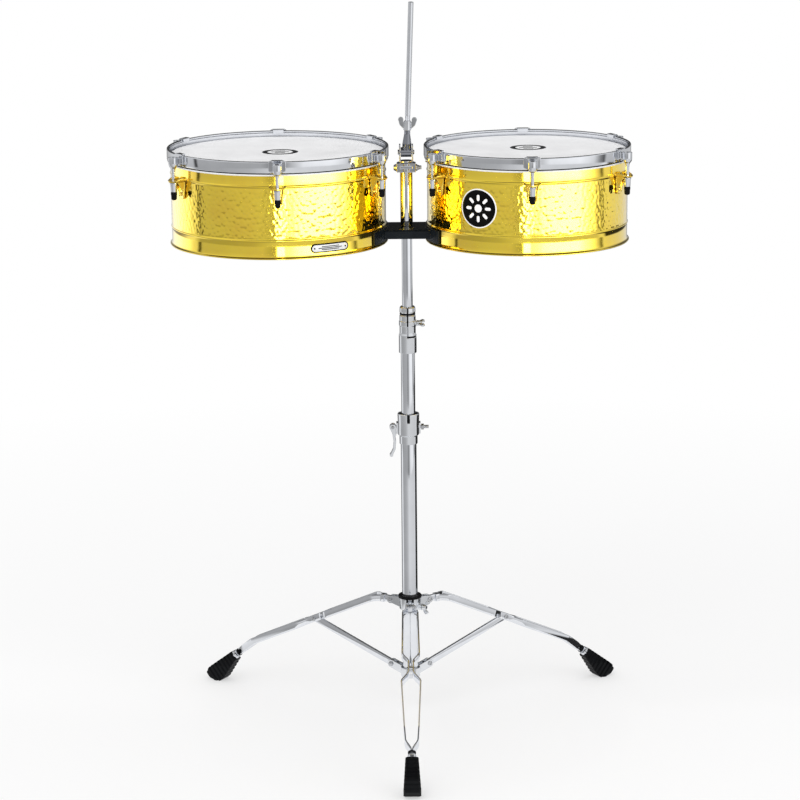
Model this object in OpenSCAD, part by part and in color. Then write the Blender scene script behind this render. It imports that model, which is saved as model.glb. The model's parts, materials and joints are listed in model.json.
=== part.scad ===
// Pair of timbales on a folding tripod stand with an accessory rod.
// Millimetres, +Z up. The origin is on the floor, on the column's axis; -Y is the player's side.

/* [Drums] */
// Outer diameter of the larger shell, on the -X side
left_shell_d = 381; // [355:1:381]
// Outer diameter of the smaller shell, on the +X side
right_shell_d = 355.6; // [330:1:360]
// Height of the hoops' top edges above the floor
rim_z = 1063; // [1055:1:1075]
// Depth of a drum from its hoop's top edge to its bottom lip
drum_depth = 171; // [165:1:178]
// Thickness of the brass shells
shell_wall = 1.5; // [1.2:0.1:2]
// Clear distance from the column's axis to each hoop
hoop_gap = 31; // [30:1:40]
// Tension hooks on each drum
lug_count = 6; // [6:2:8]

/* [Column] */
// Outer diameter of the base tube
base_tube_d = 28.6; // [28.6:0.1:30]
// Outer diameter of the middle tube
mid_tube_d = 25.4; // [25:0.1:25.4]
// Outer diameter of the upper tube
upper_tube_d = 19.05; // [18.5:0.05:19.05]
// Height of the base tube's top end
base_tube_top = 550; // [540:1:560]
// Height of the middle tube's top end
mid_tube_top = 735; // [730:1:740]

/* [Tripod] */
// Distance of every hub pivot from the column's axis
pivot_r = 38.3; // [37:0.1:40]
// Height of the brace pivots on the lower hub
brace_pivot_z = 92.5; // [85:0.5:95]
// Height of the leg pivots on the sliding hub above the brace pivots
pivot_span = 124; // [118:1:130]
// Length of a brace, and of a leg's upper arm, from pivot to pivot
arm = 178; // [172:1:184]
// Height of the flat leg and brace strips
strip_h = 12.5; // [11:0.5:13]
// Thickness of the flat leg and brace strips
strip_t = 2.6; // [2:0.1:2.6]

/* [Accessory rod] */
// Diameter of the knurled rod
rod_d = 9.5; // [9:0.1:9.5]
// Height of the rod's top end above the floor
rod_top = 1315; // [1250:5:1400]
// Lean of the rod towards +X, in degrees
rod_lean = 2.1; // [0:0.1:3]

/* [Hidden] */
$fn = 64;

// Clearances
slip = 0.3;
running = 0.06;
eps = 0.01;

// Azimuths, counter-clockwise from +X
front_az = -90;
left_az = 150;
right_az = 30;
leg_azimuths = [front_az, left_az, right_az];

// Tripod
leg_pivot_z = brace_pivot_z + pivot_span;
knee_z = brace_pivot_z + pivot_span / 2;
knee_r = pivot_r + sqrt(arm * arm - pivot_span * pivot_span / 4);
bend_in_r = 74;
leg_slope = (leg_pivot_z - knee_z) / (knee_r - bend_in_r);
bend_out_r = 340;
bend_out_z = leg_pivot_z - (bend_out_r - bend_in_r) * leg_slope;
foot_angle = 38.5;
foot_r = 386;
foot_z = bend_out_z - (foot_r - bend_out_r) * tan(foot_angle);
bar_end = 24;
pin_r = 3;
pinch = strip_t / 2 + 0.15;
knee_pinch = pinch + strip_t + slip;
ear_gap = strip_t + 0.5;

// Hubs
hub_bottom = leg_pivot_z - 12.5;
hub_top = leg_pivot_z + 9;
hub_ring_r = 21;
hub_sleeve_r = 17;
hub_flange_r = 21.4;
ear_t = 4;
brace_hub_bottom = 73.4;
brace_ear_t = 2.9;
boss_r = 6;
hub_bolt_az = -30;
hub_bolt_z = hub_bottom + 6;

// Column
base_r = base_tube_d / 2;
mid_r = mid_tube_d / 2;
upper_r = upper_tube_d / 2;
tube_wall = 1.5;
base_tube_bottom = brace_hub_bottom + 3;
mid_tube_bottom = 235;
upper_tube_bottom = 500;
upper_tube_top = 1030;
clamp_bottom = 517;
clamp_top = 573.5;
cam_x = -28.8;
cam_z = 543;
clamp_bolt_y = 19;
cam_pin_r = 2;
bushing_r = 17.2;
bushing_step_z = 559;
bushing_top = 572;
key_z = 566;
key_size = [3.6, 5, 12];
key_slot = [5, 12, 16];
mid_clamp_bottom = 685.7;
mid_clamp_top = 770.5;
mid_bushing_top = 768;
mid_bolt_z = 739.5;

// Drum positions and profiles, heights measured down from the rim
hoop_proud = 6;
left_r = left_shell_d / 2;
right_r = right_shell_d / 2;
left_x = -(hoop_gap + hoop_proud + left_r);
right_x = hoop_gap + hoop_proud + right_r;
left_turn = 1.9;
right_turn = 0.1;
head_drop = 10.5;
hoop_h = 20.6;
top_bead = 44.5;
low_bead = 138.9;
lip_top = 166.8;
bead_proud = 1.2;
lip_proud = 3.6;
lug_reach = 18.5;
shelf_drop = 44.5;
shelf_t = 3;
shelf_w = 26;
shelf_end = 28;
pad_w = 17;
pad_h = 33;
nut_bottom = 64;
cap_bottom = 78.6;
lug_bolt_drops = [56, 69];
lug_bolt_r = 2;
hook_rod_r = 3.2;
claw_w = 27;
badge_az = -30.8;
badge_drop = 91;
badge_d = 69;
plate_az = 29.8;
plate_drop = 154.4;
plate_w = 74;
plate_h = 16;

// Drum bracket
bracket_top = 916.5;
bracket_bottom = 900.6;
bracket_depth = 94;
saddle_t = 4;
saddle_low = 897;
saddle_high = 921;
saddle_half_angle = 28;
bracket_bolt_angles = [-18, 18];
bracket_tube_r = 11.1;
collar_bottom = 1014.7;
collar_top = 1030.8;

// Accessory post
yoke_z = 1031.2;
lean_z = 1022;
yoke_pin_z = 1049;
yoke_pin_r = 2.5;
cone_top = 1081;
neck_top = 1087.6;
rod_bottom = 1056;
wing_nut_z = 1088;
rod_grip_z = 1113;
rod_r = rod_d / 2;
shank_r = rod_r - 0.35;

function unit(v) = v / norm(v);
function side(v) = [-v[1], v[0]];
function mitre(path, i) =
    let (
        a = i == 0 ? path[1] - path[0] : path[i] - path[i - 1],
        b = i == len(path) - 1 ? a : path[i + 1] - path[i],
        n = unit(side(unit(a)) + side(unit(b)))
    )
    n / (n * side(unit(a)));
// Outline of a strip of width w that follows a path
function ribbon(path, w) = concat(
    [for (i = [0 : len(path) - 1]) path[i] + mitre(path, i) * w / 2],
    [for (i = [len(path) - 1 : -1 : 0]) path[i] - mitre(path, i) * w / 2]
);
// A point of the foot: along and across its sloping axis, in the leg's own plane
function foot_point(along, across) = [
    foot_r + along * cos(foot_angle) + across * sin(foot_angle),
    foot_z - along * sin(foot_angle) + across * cos(foot_angle)
];

leg_path = [
    [pivot_r - 0.6 * strip_h, leg_pivot_z],
    [bend_in_r, leg_pivot_z],
    [bend_out_r, bend_out_z],
    foot_point(bar_end, 0)
];
leg_plan = [
    [pivot_r - strip_h, pinch], [53, pinch], [76, 13.6], [176, 15.3], [knee_r - 14, knee_pinch],
    [knee_r + 14, knee_pinch], [knee_r + 32, 17.1], [bend_out_r, 12.7], [363, 10.8], [375.5, pinch],
    [foot_r + bar_end + 20, pinch]
];

// ---- Shared shapes ----

// Extrudes a profile drawn in (radius, height) across the plane of one leg
module side_plate(width) {
    rotate([90, 0, 0]) linear_extrude(height = width, center = true) children();
}

// Two plates with a gap between them, each of thickness t, from one side profile
module ears(gap, t) {
    for (s = [-1, 1]) translate([0, s * (gap + t / 2), 0]) side_plate(t) children();
}

// Bolt across a leg's plane: round head on one side, hexagon nut on the other
module cross_bolt(grip, head_r = 4.6) {
    rotate([90, 0, 0]) {
        cylinder(r = pin_r, h = 2 * grip + 5, center = true);
        translate([0, 0, grip]) cylinder(r1 = head_r, r2 = head_r - 1.2, h = 2.6);
        translate([0, 0, -grip - 2.8]) cylinder(r = head_r, h = 2.8, $fn = 6);
    }
}

module tube(r, z0, z1, wall) {
    translate([0, 0, z0]) difference() {
        cylinder(r = r, h = z1 - z0);
        translate([0, 0, -1]) cylinder(r = r - wall, h = z1 - z0 + 2);
    }
}

// Wing bolt along +X from its tip at the origin: shank, collar and two flat wings
module wing_bolt(shank, hub_len, span) {
    wing_t = 3;
    rotate([0, 90, 0]) cylinder(r = 3, h = shank + 1);
    translate([shank, 0, 0]) rotate([0, 90, 0]) cylinder(r1 = 5, r2 = 4.2, h = hub_len);
    translate([shank, 0, 0]) linear_extrude(height = wing_t, center = true) {
        for (s = [-1, 1]) {
            polygon([[1, 0], [1, s * 4], [hub_len - 1, s * span / 2], [hub_len + 5, s * (span / 2 - 3)],
                [hub_len - 0.5, 0]]);
            translate([hub_len + 1, s * (span / 2 - 3)]) circle(r = 4.2);
        }
    }
}

// ---- Base section ----

module base_tube() {
    color("gainsboro") tube(base_r, base_tube_bottom, base_tube_top, tube_wall);
}

module brace_hub() {
    color("silver") difference() {
        union() {
            translate([0, 0, brace_hub_bottom]) cylinder(r = base_r + 3.4, h = 18);
            for (az = leg_azimuths) rotate([0, 0, az]) ears(ear_gap, brace_ear_t) {
                translate([pivot_r, brace_pivot_z]) circle(r = 7.6);
                polygon([[10, brace_hub_bottom + 1], [pivot_r + 4, brace_pivot_z - 6.5],
                    [pivot_r - 1, brace_pivot_z + 7.5], [10, brace_hub_bottom + 17.5]]);
            }
        }
        translate([0, 0, base_tube_bottom]) cylinder(r = base_r, h = 60);
        for (az = leg_azimuths) rotate([0, 0, az]) translate([pivot_r, 0, brace_pivot_z])
            rotate([90, 0, 0]) cylinder(r = pin_r, h = 40, center = true);
    }
}

module brace_hub_pins() {
    color("dimgray") for (az = leg_azimuths) rotate([0, 0, az])
        translate([pivot_r, 0, brace_pivot_z]) cross_bolt(ear_gap + brace_ear_t);
}

module base_clamp() {
    block = [44, 15, 20];
    sleeve_r = 16.5;
    band_r = 19.3;
    band_z = 534;
    split_w = 3;
    color("whitesmoke") difference() {
        union() {
            rotate_extrude() polygon([
                [base_r, clamp_bottom], [sleeve_r, clamp_bottom], [sleeve_r, band_z - 2], [band_r, band_z],
                [band_r, band_z + 22],
                [band_r + 0.6, clamp_top - 1.5], [band_r - 0.3, clamp_top], [bushing_r + 3 * slip, clamp_top],
                [bushing_r, bushing_step_z], [bushing_r, base_tube_top], [base_r, base_tube_top]
            ]);
            translate([0, clamp_bolt_y - 1, cam_z - 1]) cube(block, center = true);
        }
        translate([0, 0, clamp_bottom - 1]) cylinder(r = base_r, h = base_tube_top - clamp_bottom + 1);
        translate([0, 0, base_tube_top - eps]) cylinder(r = bushing_r, h = 40);
        translate([-split_w / 2, 0, clamp_bottom - 1]) cube([split_w, 60, clamp_top - clamp_bottom + 2]);
        translate([0, -20, key_z]) cube(key_slot, center = true);
        translate([0, clamp_bolt_y, cam_z]) rotate([0, 90, 0])
            cylinder(r = pin_r + 0.1, h = 2 * block[0], center = true);
    }
}

module base_clamp_bushing() {
    color("dimgray") difference() {
        union() {
            translate([0, 0, base_tube_top]) cylinder(r = bushing_r, h = bushing_step_z - base_tube_top);
            translate([0, 0, bushing_step_z]) cylinder(r1 = bushing_r - slip, r2 = bushing_r + slip,
                h = bushing_top - bushing_step_z);
            translate([0, -17, key_z]) cube(key_size, center = true);
        }
        translate([0, 0, base_tube_top - 1]) cylinder(r = mid_r + running, h = 30);
    }
}

module clamp_bolt() {
    barrel_r = 5.6;
    nut_x = 23.1;
    nut_t = 5;
    color("silver") {
        translate([cam_x + barrel_r - 0.6, clamp_bolt_y, cam_z]) rotate([0, 90, 0])
            cylinder(r = pin_r, h = nut_x - cam_x + nut_t + 3.7);
        translate([nut_x, clamp_bolt_y, cam_z]) rotate([0, 90, 0]) cylinder(r = barrel_r, h = nut_t, $fn = 6);
        translate([cam_x, clamp_bolt_y, cam_z]) rotate([90, 0, 0]) difference() {
            cylinder(r = barrel_r, h = 5, center = true);
            cylinder(r = cam_pin_r, h = 30, center = true);
        }
    }
}

module cam_pin() {
    color("dimgray") translate([cam_x, clamp_bolt_y, cam_z]) rotate([90, 0, 0]) {
        cylinder(r = cam_pin_r, h = 15, center = true);
        for (s = [-1, 1]) translate([0, 0, s * 7.4]) cylinder(r = cam_pin_r + 1.2, h = 1.6, center = true);
    }
}

// ---- Cam lever ----

module cam_lever() {
    cheek_t = 3;
    cheek_gap = 3.3;
    cam_offset = 0.5;
    handle = [[0, 0], [1.8, -13], [3.8, -27], [2.6, -41], [-2.6, -52]];
    handle_t = 4.4;
    eye_r = 10;
    cam_r = 6.1;
    color("whitesmoke") difference() {
        translate([cam_x, clamp_bolt_y, cam_z]) {
            for (s = [-1, 1]) translate([0, s * (cheek_gap + cheek_t / 2), 0])
                side_plate(cheek_t) {
                    translate([cam_offset, 0]) circle(r = cam_r);
                    polygon([[-5.4, 0], [5.4, -1], [6.6, -15], [0.6, -15]]);
                }
            side_plate(2 * (cheek_gap + cheek_t)) difference() {
                union() {
                    polygon(ribbon(handle, handle_t));
                    translate(handle[4]) circle(r = 0.7 * handle_t);
                }
                circle(r = eye_r);
            }
        }
        translate([cam_x, clamp_bolt_y, cam_z]) rotate([90, 0, 0])
            cylinder(r = cam_pin_r + running, h = 40, center = true);
    }
}

// ---- Tripod ----

// What a strip's outline loses to round its end about a pivot at the origin
module end_cut() {
    difference() {
        translate([-2 * strip_h, -strip_h]) square([2 * strip_h, 2 * strip_h]);
        circle(r = strip_h / 2 + 0.1);
    }
}

module brace(az) {
    slope = atan2(knee_z - brace_pivot_z, knee_r - pivot_r);
    color("gainsboro") rotate([0, 0, az]) difference() {
        for (s = [-1, 1]) translate([0, s * pinch, 0]) side_plate(strip_t)
            translate([pivot_r, brace_pivot_z]) rotate(slope) difference() {
                translate([-strip_h, -strip_h / 2]) square([arm + 2 * strip_h, strip_h]);
                end_cut();
                translate([arm, 0]) mirror([1, 0]) end_cut();
            }
        translate([pivot_r, 0, brace_pivot_z]) rotate([90, 0, 0])
            cylinder(r = pin_r + running, h = 40, center = true);
        translate([knee_r, 0, knee_z]) rotate([90, 0, 0])
            cylinder(r = pin_r + running, h = 40, center = true);
    }
}
module brace_front() { brace(front_az); }
module brace_left() { brace(left_az); }
module brace_right() { brace(right_az); }

// The two strips of a leg: one side outline cut by two bent strips seen from above
module leg_bars(az, pivot_clearance) {
    color("gainsboro") rotate([0, 0, az]) difference() {
        intersection() {
            side_plate(60) difference() {
                polygon(ribbon(leg_path, strip_h));
                translate([pivot_r, leg_pivot_z]) end_cut();
            }
            linear_extrude(height = 300) for (s = [0, 1]) mirror([0, s]) polygon(ribbon(leg_plan, strip_t));
        }
        translate([pivot_r, 0, leg_pivot_z]) rotate([90, 0, 0])
            cylinder(r = pin_r + pivot_clearance, h = 60, center = true);
        translate([knee_r, 0, knee_z]) rotate([90, 0, 0]) cylinder(r = pin_r, h = 60, center = true);
    }
}
module leg_front_bars() { leg_bars(front_az, running); }
module leg_left_bars() { leg_bars(left_az, 2 * slip); }
module leg_right_bars() { leg_bars(right_az, 2 * slip); }

module leg_bolt(az) {
    color("dimgray") rotate([0, 0, az]) translate([knee_r, 0, knee_z])
        cross_bolt(knee_pinch + strip_t / 2, 4.4);
}
module leg_front_bolt() { leg_bolt(front_az); }
module leg_left_bolt() { leg_bolt(left_az); }
module leg_right_bolt() { leg_bolt(right_az); }

// Room that the two strips take inside a ferrule or foot
module strip_slot() {
    side_plate(2 * (pinch + strip_t / 2))
        polygon(ribbon([foot_point(-60, 0), foot_point(bar_end, 0)], strip_h));
}

module leg_ferrule(az) {
    color("gainsboro") rotate([0, 0, az]) difference() {
        translate([foot_r, 0, foot_z]) rotate([0, 90 + foot_angle, 0]) {
            translate([0, 0, -4]) cylinder(r1 = 7.6, r2 = 8.6, h = 5);
            translate([0, 0, -5.5]) cylinder(r = 8.2, h = 1.5);
        }
        strip_slot();
    }
}
module leg_front_ferrule() { leg_ferrule(front_az); }
module leg_left_ferrule() { leg_ferrule(left_az); }
module leg_right_ferrule() { leg_ferrule(right_az); }

// Ribbed rubber wedge, cut flat where it stands
module foot(az) {
    rib_gap = 2;
    rib_pitch = 8.4;
    rib_start = 9;
    ribs = 7;
    outline = [[1.1, 9], [60, 10.5], [72, 7.5], [73, -3], [68, -14], [60, -25], [47, -24.5], [1.1, -9.6]];
    color("black") rotate([0, 0, az]) difference() {
        intersection() {
            side_plate(60) polygon([for (p = outline) foot_point(p[0], p[1])]);
            linear_extrude(height = 200) polygon([[foot_r - 12, -10.5], [foot_r + 62, -16],
                [foot_r + 66, -12], [foot_r + 66, 12], [foot_r + 62, 16], [foot_r - 12, 10.5]]);
            translate([0, -100, 0]) cube([600, 200, 200]);
        }
        strip_slot();
        for (i = [0 : ribs - 1]) side_plate(60)
            polygon(ribbon([foot_point(rib_start + i * rib_pitch, 8.2),
                foot_point(rib_start + i * rib_pitch, 14)], rib_gap));
    }
}
module foot_front() { foot(front_az); }
module foot_left() { foot(left_az); }
module foot_right() { foot(right_az); }

module leg_hub() {
    color("whitesmoke") difference() {
        union() {
            translate([0, 0, hub_bottom]) cylinder(r1 = hub_ring_r - 2, r2 = hub_ring_r, h = hub_top - hub_bottom);
            for (az = leg_azimuths) rotate([0, 0, az]) ears(ear_gap, ear_t) {
                translate([pivot_r, leg_pivot_z]) circle(r = 7.2);
                polygon([[14, hub_bottom], [pivot_r - 3, leg_pivot_z - 6.5], [pivot_r, leg_pivot_z + 7.2],
                    [14, hub_top]]);
            }
            rotate([0, 0, hub_bolt_az]) translate([14, 0, hub_bolt_z]) rotate([0, 90, 0])
                cylinder(r = boss_r, h = 12);
        }
        translate([0, 0, hub_bottom - 1]) cylinder(r = hub_sleeve_r, h = 60);
        for (az = leg_azimuths) rotate([0, 0, az]) translate([pivot_r, 0, leg_pivot_z])
            rotate([90, 0, 0]) cylinder(r = pin_r, h = 40, center = true);
        rotate([0, 0, hub_bolt_az]) translate([10, 0, hub_bolt_z]) rotate([0, 90, 0])
            cylinder(r = pin_r + running, h = 30);
    }
}

module leg_hub_bushing() {
    color("black") difference() {
        union() {
            translate([0, 0, hub_bottom]) cylinder(r = hub_sleeve_r, h = hub_top - hub_bottom + 1);
            translate([0, 0, hub_top]) cylinder(r = hub_flange_r, h = 5.4);
        }
        translate([0, 0, hub_bottom - 1]) cylinder(r = base_r + running, h = 60);
        rotate([0, 0, hub_bolt_az]) translate([10, 0, hub_bolt_z]) rotate([0, 90, 0])
            cylinder(r = pin_r + slip, h = 30);
    }
}

module leg_hub_pins() {
    color("dimgray") for (az = leg_azimuths) rotate([0, 0, az])
        translate([pivot_r, 0, leg_pivot_z]) cross_bolt(ear_gap + ear_t);
}

module hub_wing_bolt() {
    color("silver") rotate([0, 0, hub_bolt_az]) translate([base_r + slip, 0, hub_bolt_z])
        rotate([70, 0, 0]) wing_bolt(12.2, 8, 24);
}

// ---- Middle section ----

module mid_tube() {
    color("gainsboro") tube(mid_r, mid_tube_bottom, mid_tube_top, tube_wall);
}

module mid_clamp() {
    sleeve_r = 16;
    neck_r = 14.6;
    groove_r = 13.4;
    mouth_r = upper_r + 1.2;
    split_w = 2.2;
    split_z = 714.5;
    color("whitesmoke") difference() {
        union() {
            rotate_extrude() polygon([
                [mid_r, mid_clamp_bottom], [sleeve_r, mid_clamp_bottom], [sleeve_r, 718], [neck_r, 722],
                [neck_r, 735], [neck_r + 1, 736], [neck_r + 1, 743.5], [neck_r, 744.5], [neck_r, 753.5],
                [groove_r, 755], [groove_r, 759], [neck_r, 761], [neck_r - 0.4, mid_bushing_top],
                [neck_r - 2, mid_clamp_top], [mouth_r, mid_clamp_top], [mouth_r, mid_bushing_top],
                [mid_r, mid_bushing_top]
            ]);
            translate([9, 0, mid_bolt_z]) rotate([0, 90, 0]) cylinder(r = boss_r, h = 7);
        }
        translate([-split_w / 2, -30, split_z]) cube([split_w, 30, 60]);
        translate([-split_w / 2, -30, split_z]) cube([30, 30, 3]);
        translate([8, 0, mid_bolt_z]) rotate([0, 90, 0]) cylinder(r = pin_r + running, h = 20);
        translate([0, 0, mid_clamp_bottom - 1]) cylinder(r = mid_r, h = mid_bushing_top - mid_clamp_bottom + 1);
    }
}

module mid_clamp_bushing() {
    color("black") difference() {
        translate([0, 0, mid_tube_top]) cylinder(r = mid_r, h = mid_bushing_top - mid_tube_top);
        translate([0, 0, mid_tube_top - 1]) cylinder(r = upper_r + running, h = 60);
        translate([8, 0, mid_bolt_z]) rotate([0, 90, 0]) cylinder(r = pin_r + slip, h = 20);
    }
}

module mid_wing_bolt() {
    color("silver") translate([upper_r + slip, 0, mid_bolt_z]) rotate([12, 0, 0]) wing_bolt(7, 9, 25);
}

// ---- Upper section ----

module upper_tube() {
    color("gainsboro") tube(upper_r, upper_tube_bottom, upper_tube_top, tube_wall);
}

module upper_tube_bushing() {
    color("black") tube(mid_r - tube_wall - running, upper_tube_bottom, upper_tube_bottom + 30,
        mid_r - tube_wall - running - upper_r);
}

// ---- Drum bracket ----

// Places children at each bolt between a saddle and its shell, pointing away from the drum's axis
module each_bracket_bolt() {
    for (d = [[left_x, left_r, 0], [right_x, right_r, 180]], a = bracket_bolt_angles)
        translate([d[0], 0, (saddle_low + saddle_high) / 2]) rotate([0, 0, d[2] + a]) translate([d[1], 0, 0])
            rotate([0, 90, 0]) children();
}

module saddle(x, r, az) {
    translate([x, 0, saddle_low]) rotate([0, 0, az - saddle_half_angle])
        rotate_extrude(angle = 2 * saddle_half_angle) translate([r, 0])
            square([saddle_t, saddle_high - saddle_low]);
}

module bracket_plate() {
    round_r = 6;
    color([0.1, 0.11, 0.12]) difference() {
        union() {
            saddle(left_x, left_r, 0);
            saddle(right_x, right_r, 180);
            difference() {
                rotate([90, 0, 90]) linear_extrude(height = 100, center = true) difference() {
                    union() {
                        translate([-bracket_depth / 2, bracket_bottom])
                            square([bracket_depth, bracket_top - bracket_bottom - round_r]);
                        translate([-bracket_depth / 2 + round_r, bracket_bottom])
                            square([bracket_depth - 2 * round_r, bracket_top - bracket_bottom]);
                        for (s = [-1, 1])
                            translate([s * (bracket_depth / 2 - round_r), bracket_top - round_r])
                                circle(r = round_r);
                    }
                    for (s = [-1, 1]) translate([s * 28, bracket_bottom + 4])
                        square([27, 15], center = true);
                }
                translate([left_x, 0, 800]) cylinder(r = left_r + saddle_t / 2, h = 300, $fn = 128);
                translate([right_x, 0, 800]) cylinder(r = right_r + saddle_t / 2, h = 300, $fn = 128);
            }
        }
        translate([0, 0, 800]) cylinder(r = bracket_tube_r, h = 300);
        each_bracket_bolt() cylinder(r = pin_r + 0.1, h = 60, center = true);
    }
}

module bracket_bolts() {
    color("silver") each_bracket_bolt() {
        translate([0, 0, -shell_wall - 3]) cylinder(r = pin_r, h = saddle_t + shell_wall + 3);
        translate([0, 0, -shell_wall - 4.2]) cylinder(r = 5, h = 4, $fn = 6);
        translate([0, 0, saddle_t]) cylinder(r1 = 5, r2 = 3.5, h = 2.4);
    }
}

module bracket_tube() {
    color("gainsboro") tube(bracket_tube_r, bracket_bottom - 2, collar_bottom + 8, bracket_tube_r - upper_r - running);
}

module bracket_collar() {
    color("whitesmoke") difference() {
        union() {
            translate([0, 0, collar_bottom]) cylinder(r = 17, h = collar_top - collar_bottom);
            translate([-17, -16, collar_bottom]) cube([34, 14, collar_top - collar_bottom]);
            translate([-17, -9, (collar_bottom + collar_top) / 2]) rotate([0, -90, 0])
                cylinder(r1 = 7, r2 = 4.6, h = 5.4);
            translate([17, -9, (collar_bottom + collar_top) / 2]) rotate([0, 90, 0]) cylinder(r = 6, h = 3);
        }
        translate([0, 0, collar_bottom - 1]) cylinder(r = bracket_tube_r, h = 9);
        translate([0, 0, collar_bottom]) cylinder(r = upper_r + running, h = 40);
        translate([-11, -17, collar_bottom + 6.5]) cube([22, 3, 4.5]);
    }
}

module collar_bolt() {
    color("silver") translate([20, -9, (collar_bottom + collar_top) / 2]) rotate([0, 90, 0]) {
        cylinder(r = 4.2, h = 3);
        translate([0, 0, 3]) cylinder(r = 3.6, h = 4, $fn = 4);
    }
}

// ---- Drums ----

// Places children at every hook position of one drum, +X pointing outwards, z = 0 at the rim
module each_lug(x, r, turn) {
    for (i = [0 : lug_count - 1]) translate([x, 0, rim_z])
        rotate([0, 0, front_az + turn + i * 360 / lug_count]) translate([r, 0, 0]) children();
}
module every_lug() {
    each_lug(left_x, left_r, left_turn) children();
    each_lug(right_x, right_r, right_turn) children();
}

// Spun brass shell: inward bearing edge, two rolled beads and a flared lip
module shell(x, r, turn) {
    top = head_drop + 0.6;
    w = shell_wall;
    b = bead_proud;
    bead_half = 3;
    color("goldenrod") difference() {
        translate([x, 0, rim_z]) rotate_extrude($fn = 128) polygon([
            [r, -top - 3], [r - 3, -top], [r - 4.6, -top - 0.6], [r - w, -top - 4],
            [r - w, -top_bead + bead_half], [r - w + b, -top_bead], [r - w, -top_bead - bead_half],
            [r - w, -low_bead + bead_half], [r - w + b, -low_bead], [r - w, -low_bead - bead_half],
            [r - w, -lip_top], [r + lip_proud - w, -drum_depth + w],
            [r + lip_proud - w, -drum_depth], [r + lip_proud, -drum_depth],
            [r + lip_proud, -drum_depth + 2.2], [r, -lip_top],
            [r, -low_bead - bead_half], [r + b, -low_bead], [r, -low_bead + bead_half],
            [r, -top_bead - bead_half], [r + b, -top_bead], [r, -top_bead + bead_half]
        ]);
        each_lug(x, r, turn) each_lug_bolt() cylinder(r = lug_bolt_r, h = 30, center = true, $fn = 24);
        each_bracket_bolt() cylinder(r = pin_r + 0.1, h = 30, center = true);
    }
}
module left_shell() { shell(left_x, left_r, left_turn); }
module right_shell() { shell(right_x, right_r, right_turn); }

// Plastic film stretched over the bearing edge, with its collar down to the flesh hoop
module head(x, r) {
    film = 0.5;
    color("white") translate([x, 0, rim_z]) rotate_extrude($fn = 128) polygon([
        [0, -head_drop], [r - 2, -head_drop], [r + 0.8, -head_drop - 3], [r + 0.8, -hoop_h - 2],
        [r + 0.3, -hoop_h - 2], [r + 0.3, -head_drop - 3.4], [r - 2.4, -head_drop - film],
        [0, -head_drop - film]
    ]);
}
module left_head() { head(left_x, left_r); }
module right_head() { head(right_x, right_r); }

module flesh_hoop(x, r) {
    color("silver") translate([x, 0, rim_z]) rotate_extrude($fn = 128)
        translate([r + 0.9, -hoop_h - 4.4]) square([3.6, 4.3]);
}
module left_flesh_hoop() { flesh_hoop(left_x, left_r); }
module right_flesh_hoop() { flesh_hoop(right_x, right_r); }

// Pressed steel counterhoop: rolled top edge, straight band, inward foot
module hoop(x, r) {
    color("gainsboro") translate([x, 0, rim_z]) rotate_extrude($fn = 128) {
        translate([r + hoop_proud - 2.3, -hoop_h]) square([2.3, hoop_h - 2]);
        translate([r + 1.1, -hoop_h]) square([hoop_proud - 1.1, 2.2]);
        translate([r + hoop_proud - 2.2, -2.2]) circle(r = 2.2, $fn = 24);
    }
}
module left_hoop() { hoop(left_x, left_r); }
module right_hoop() { hoop(right_x, right_r); }

// Places children on the axis of each of a bracket's two bolts, +Z pointing outwards
module each_lug_bolt() {
    for (drop = lug_bolt_drops) translate([0, 0, -drop]) rotate([0, 90, 0]) children();
}

// Bent bracket: tapered pad against the shell, shelf with a round end and upturned lips, two gussets
module lug_bracket(r) {
    pad_t = 3.2;
    lip_t = 2;
    lip_h = 4;
    rib_t = 2.2;
    half = shelf_w / 2;
    pad_bottom = -shelf_drop - pad_h;
    shelf_bottom = -shelf_drop - shelf_t;
    difference() {
        union() {
            translate([0, 0, shelf_bottom]) linear_extrude(height = shelf_t) {
                translate([0.6, -half]) square([shelf_end - half, shelf_w]);
                translate([shelf_end - half, 0]) circle(r = half);
            }
            for (s = [-1, 1]) {
                translate([0.6, s * (half - lip_t / 2) - lip_t / 2, -shelf_drop - eps])
                    cube([shelf_end - half, lip_t, lip_h]);
                translate([0, s * (pad_w - rib_t) / 2, 0]) side_plate(rib_t) polygon([
                    [1, shelf_bottom + 1], [15, shelf_bottom + 1], [12, shelf_bottom - 4],
                    [pad_t + 0.6, pad_bottom + 6], [1, pad_bottom + 6]
                ]);
            }
            rotate([90, 0, 90]) translate([0, 0, 0.6]) linear_extrude(height = pad_t) {
                polygon([[-half, shelf_bottom + 1], [-pad_w / 2, shelf_bottom - 9],
                    [-pad_w / 2, pad_bottom + 4], [-pad_w / 2 + 4, pad_bottom], [pad_w / 2 - 4, pad_bottom],
                    [pad_w / 2, pad_bottom + 4], [pad_w / 2, shelf_bottom - 9], [half, shelf_bottom + 1]]);
            }
        }
        translate([-r, 0, -200]) cylinder(r = r + bead_proud + 0.1, h = 300, $fn = 128);
        translate([lug_reach, 0, -100]) cylinder(r = 3.8, h = 200);
        each_lug_bolt() cylinder(r = lug_bolt_r, h = 30, center = true, $fn = 24);
    }
}
module left_lug_brackets() {
    color("gold") each_lug(left_x, left_r, left_turn) lug_bracket(left_r);
}
module right_lug_brackets() {
    color("gold") each_lug(right_x, right_r, right_turn) lug_bracket(right_r);
}

module lug_bolts() {
    color("gold") every_lug() each_lug_bolt() {
        translate([0, 0, -shell_wall - 3.4]) cylinder(r = lug_bolt_r - 0.05, h = shell_wall + 8);
        translate([0, 0, 4]) cylinder(r1 = 3, r2 = 2.2, h = 1.8);
        translate([0, 0, -shell_wall - 3.2]) cylinder(r = 3, h = 2.6, $fn = 6);
    }
}

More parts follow.
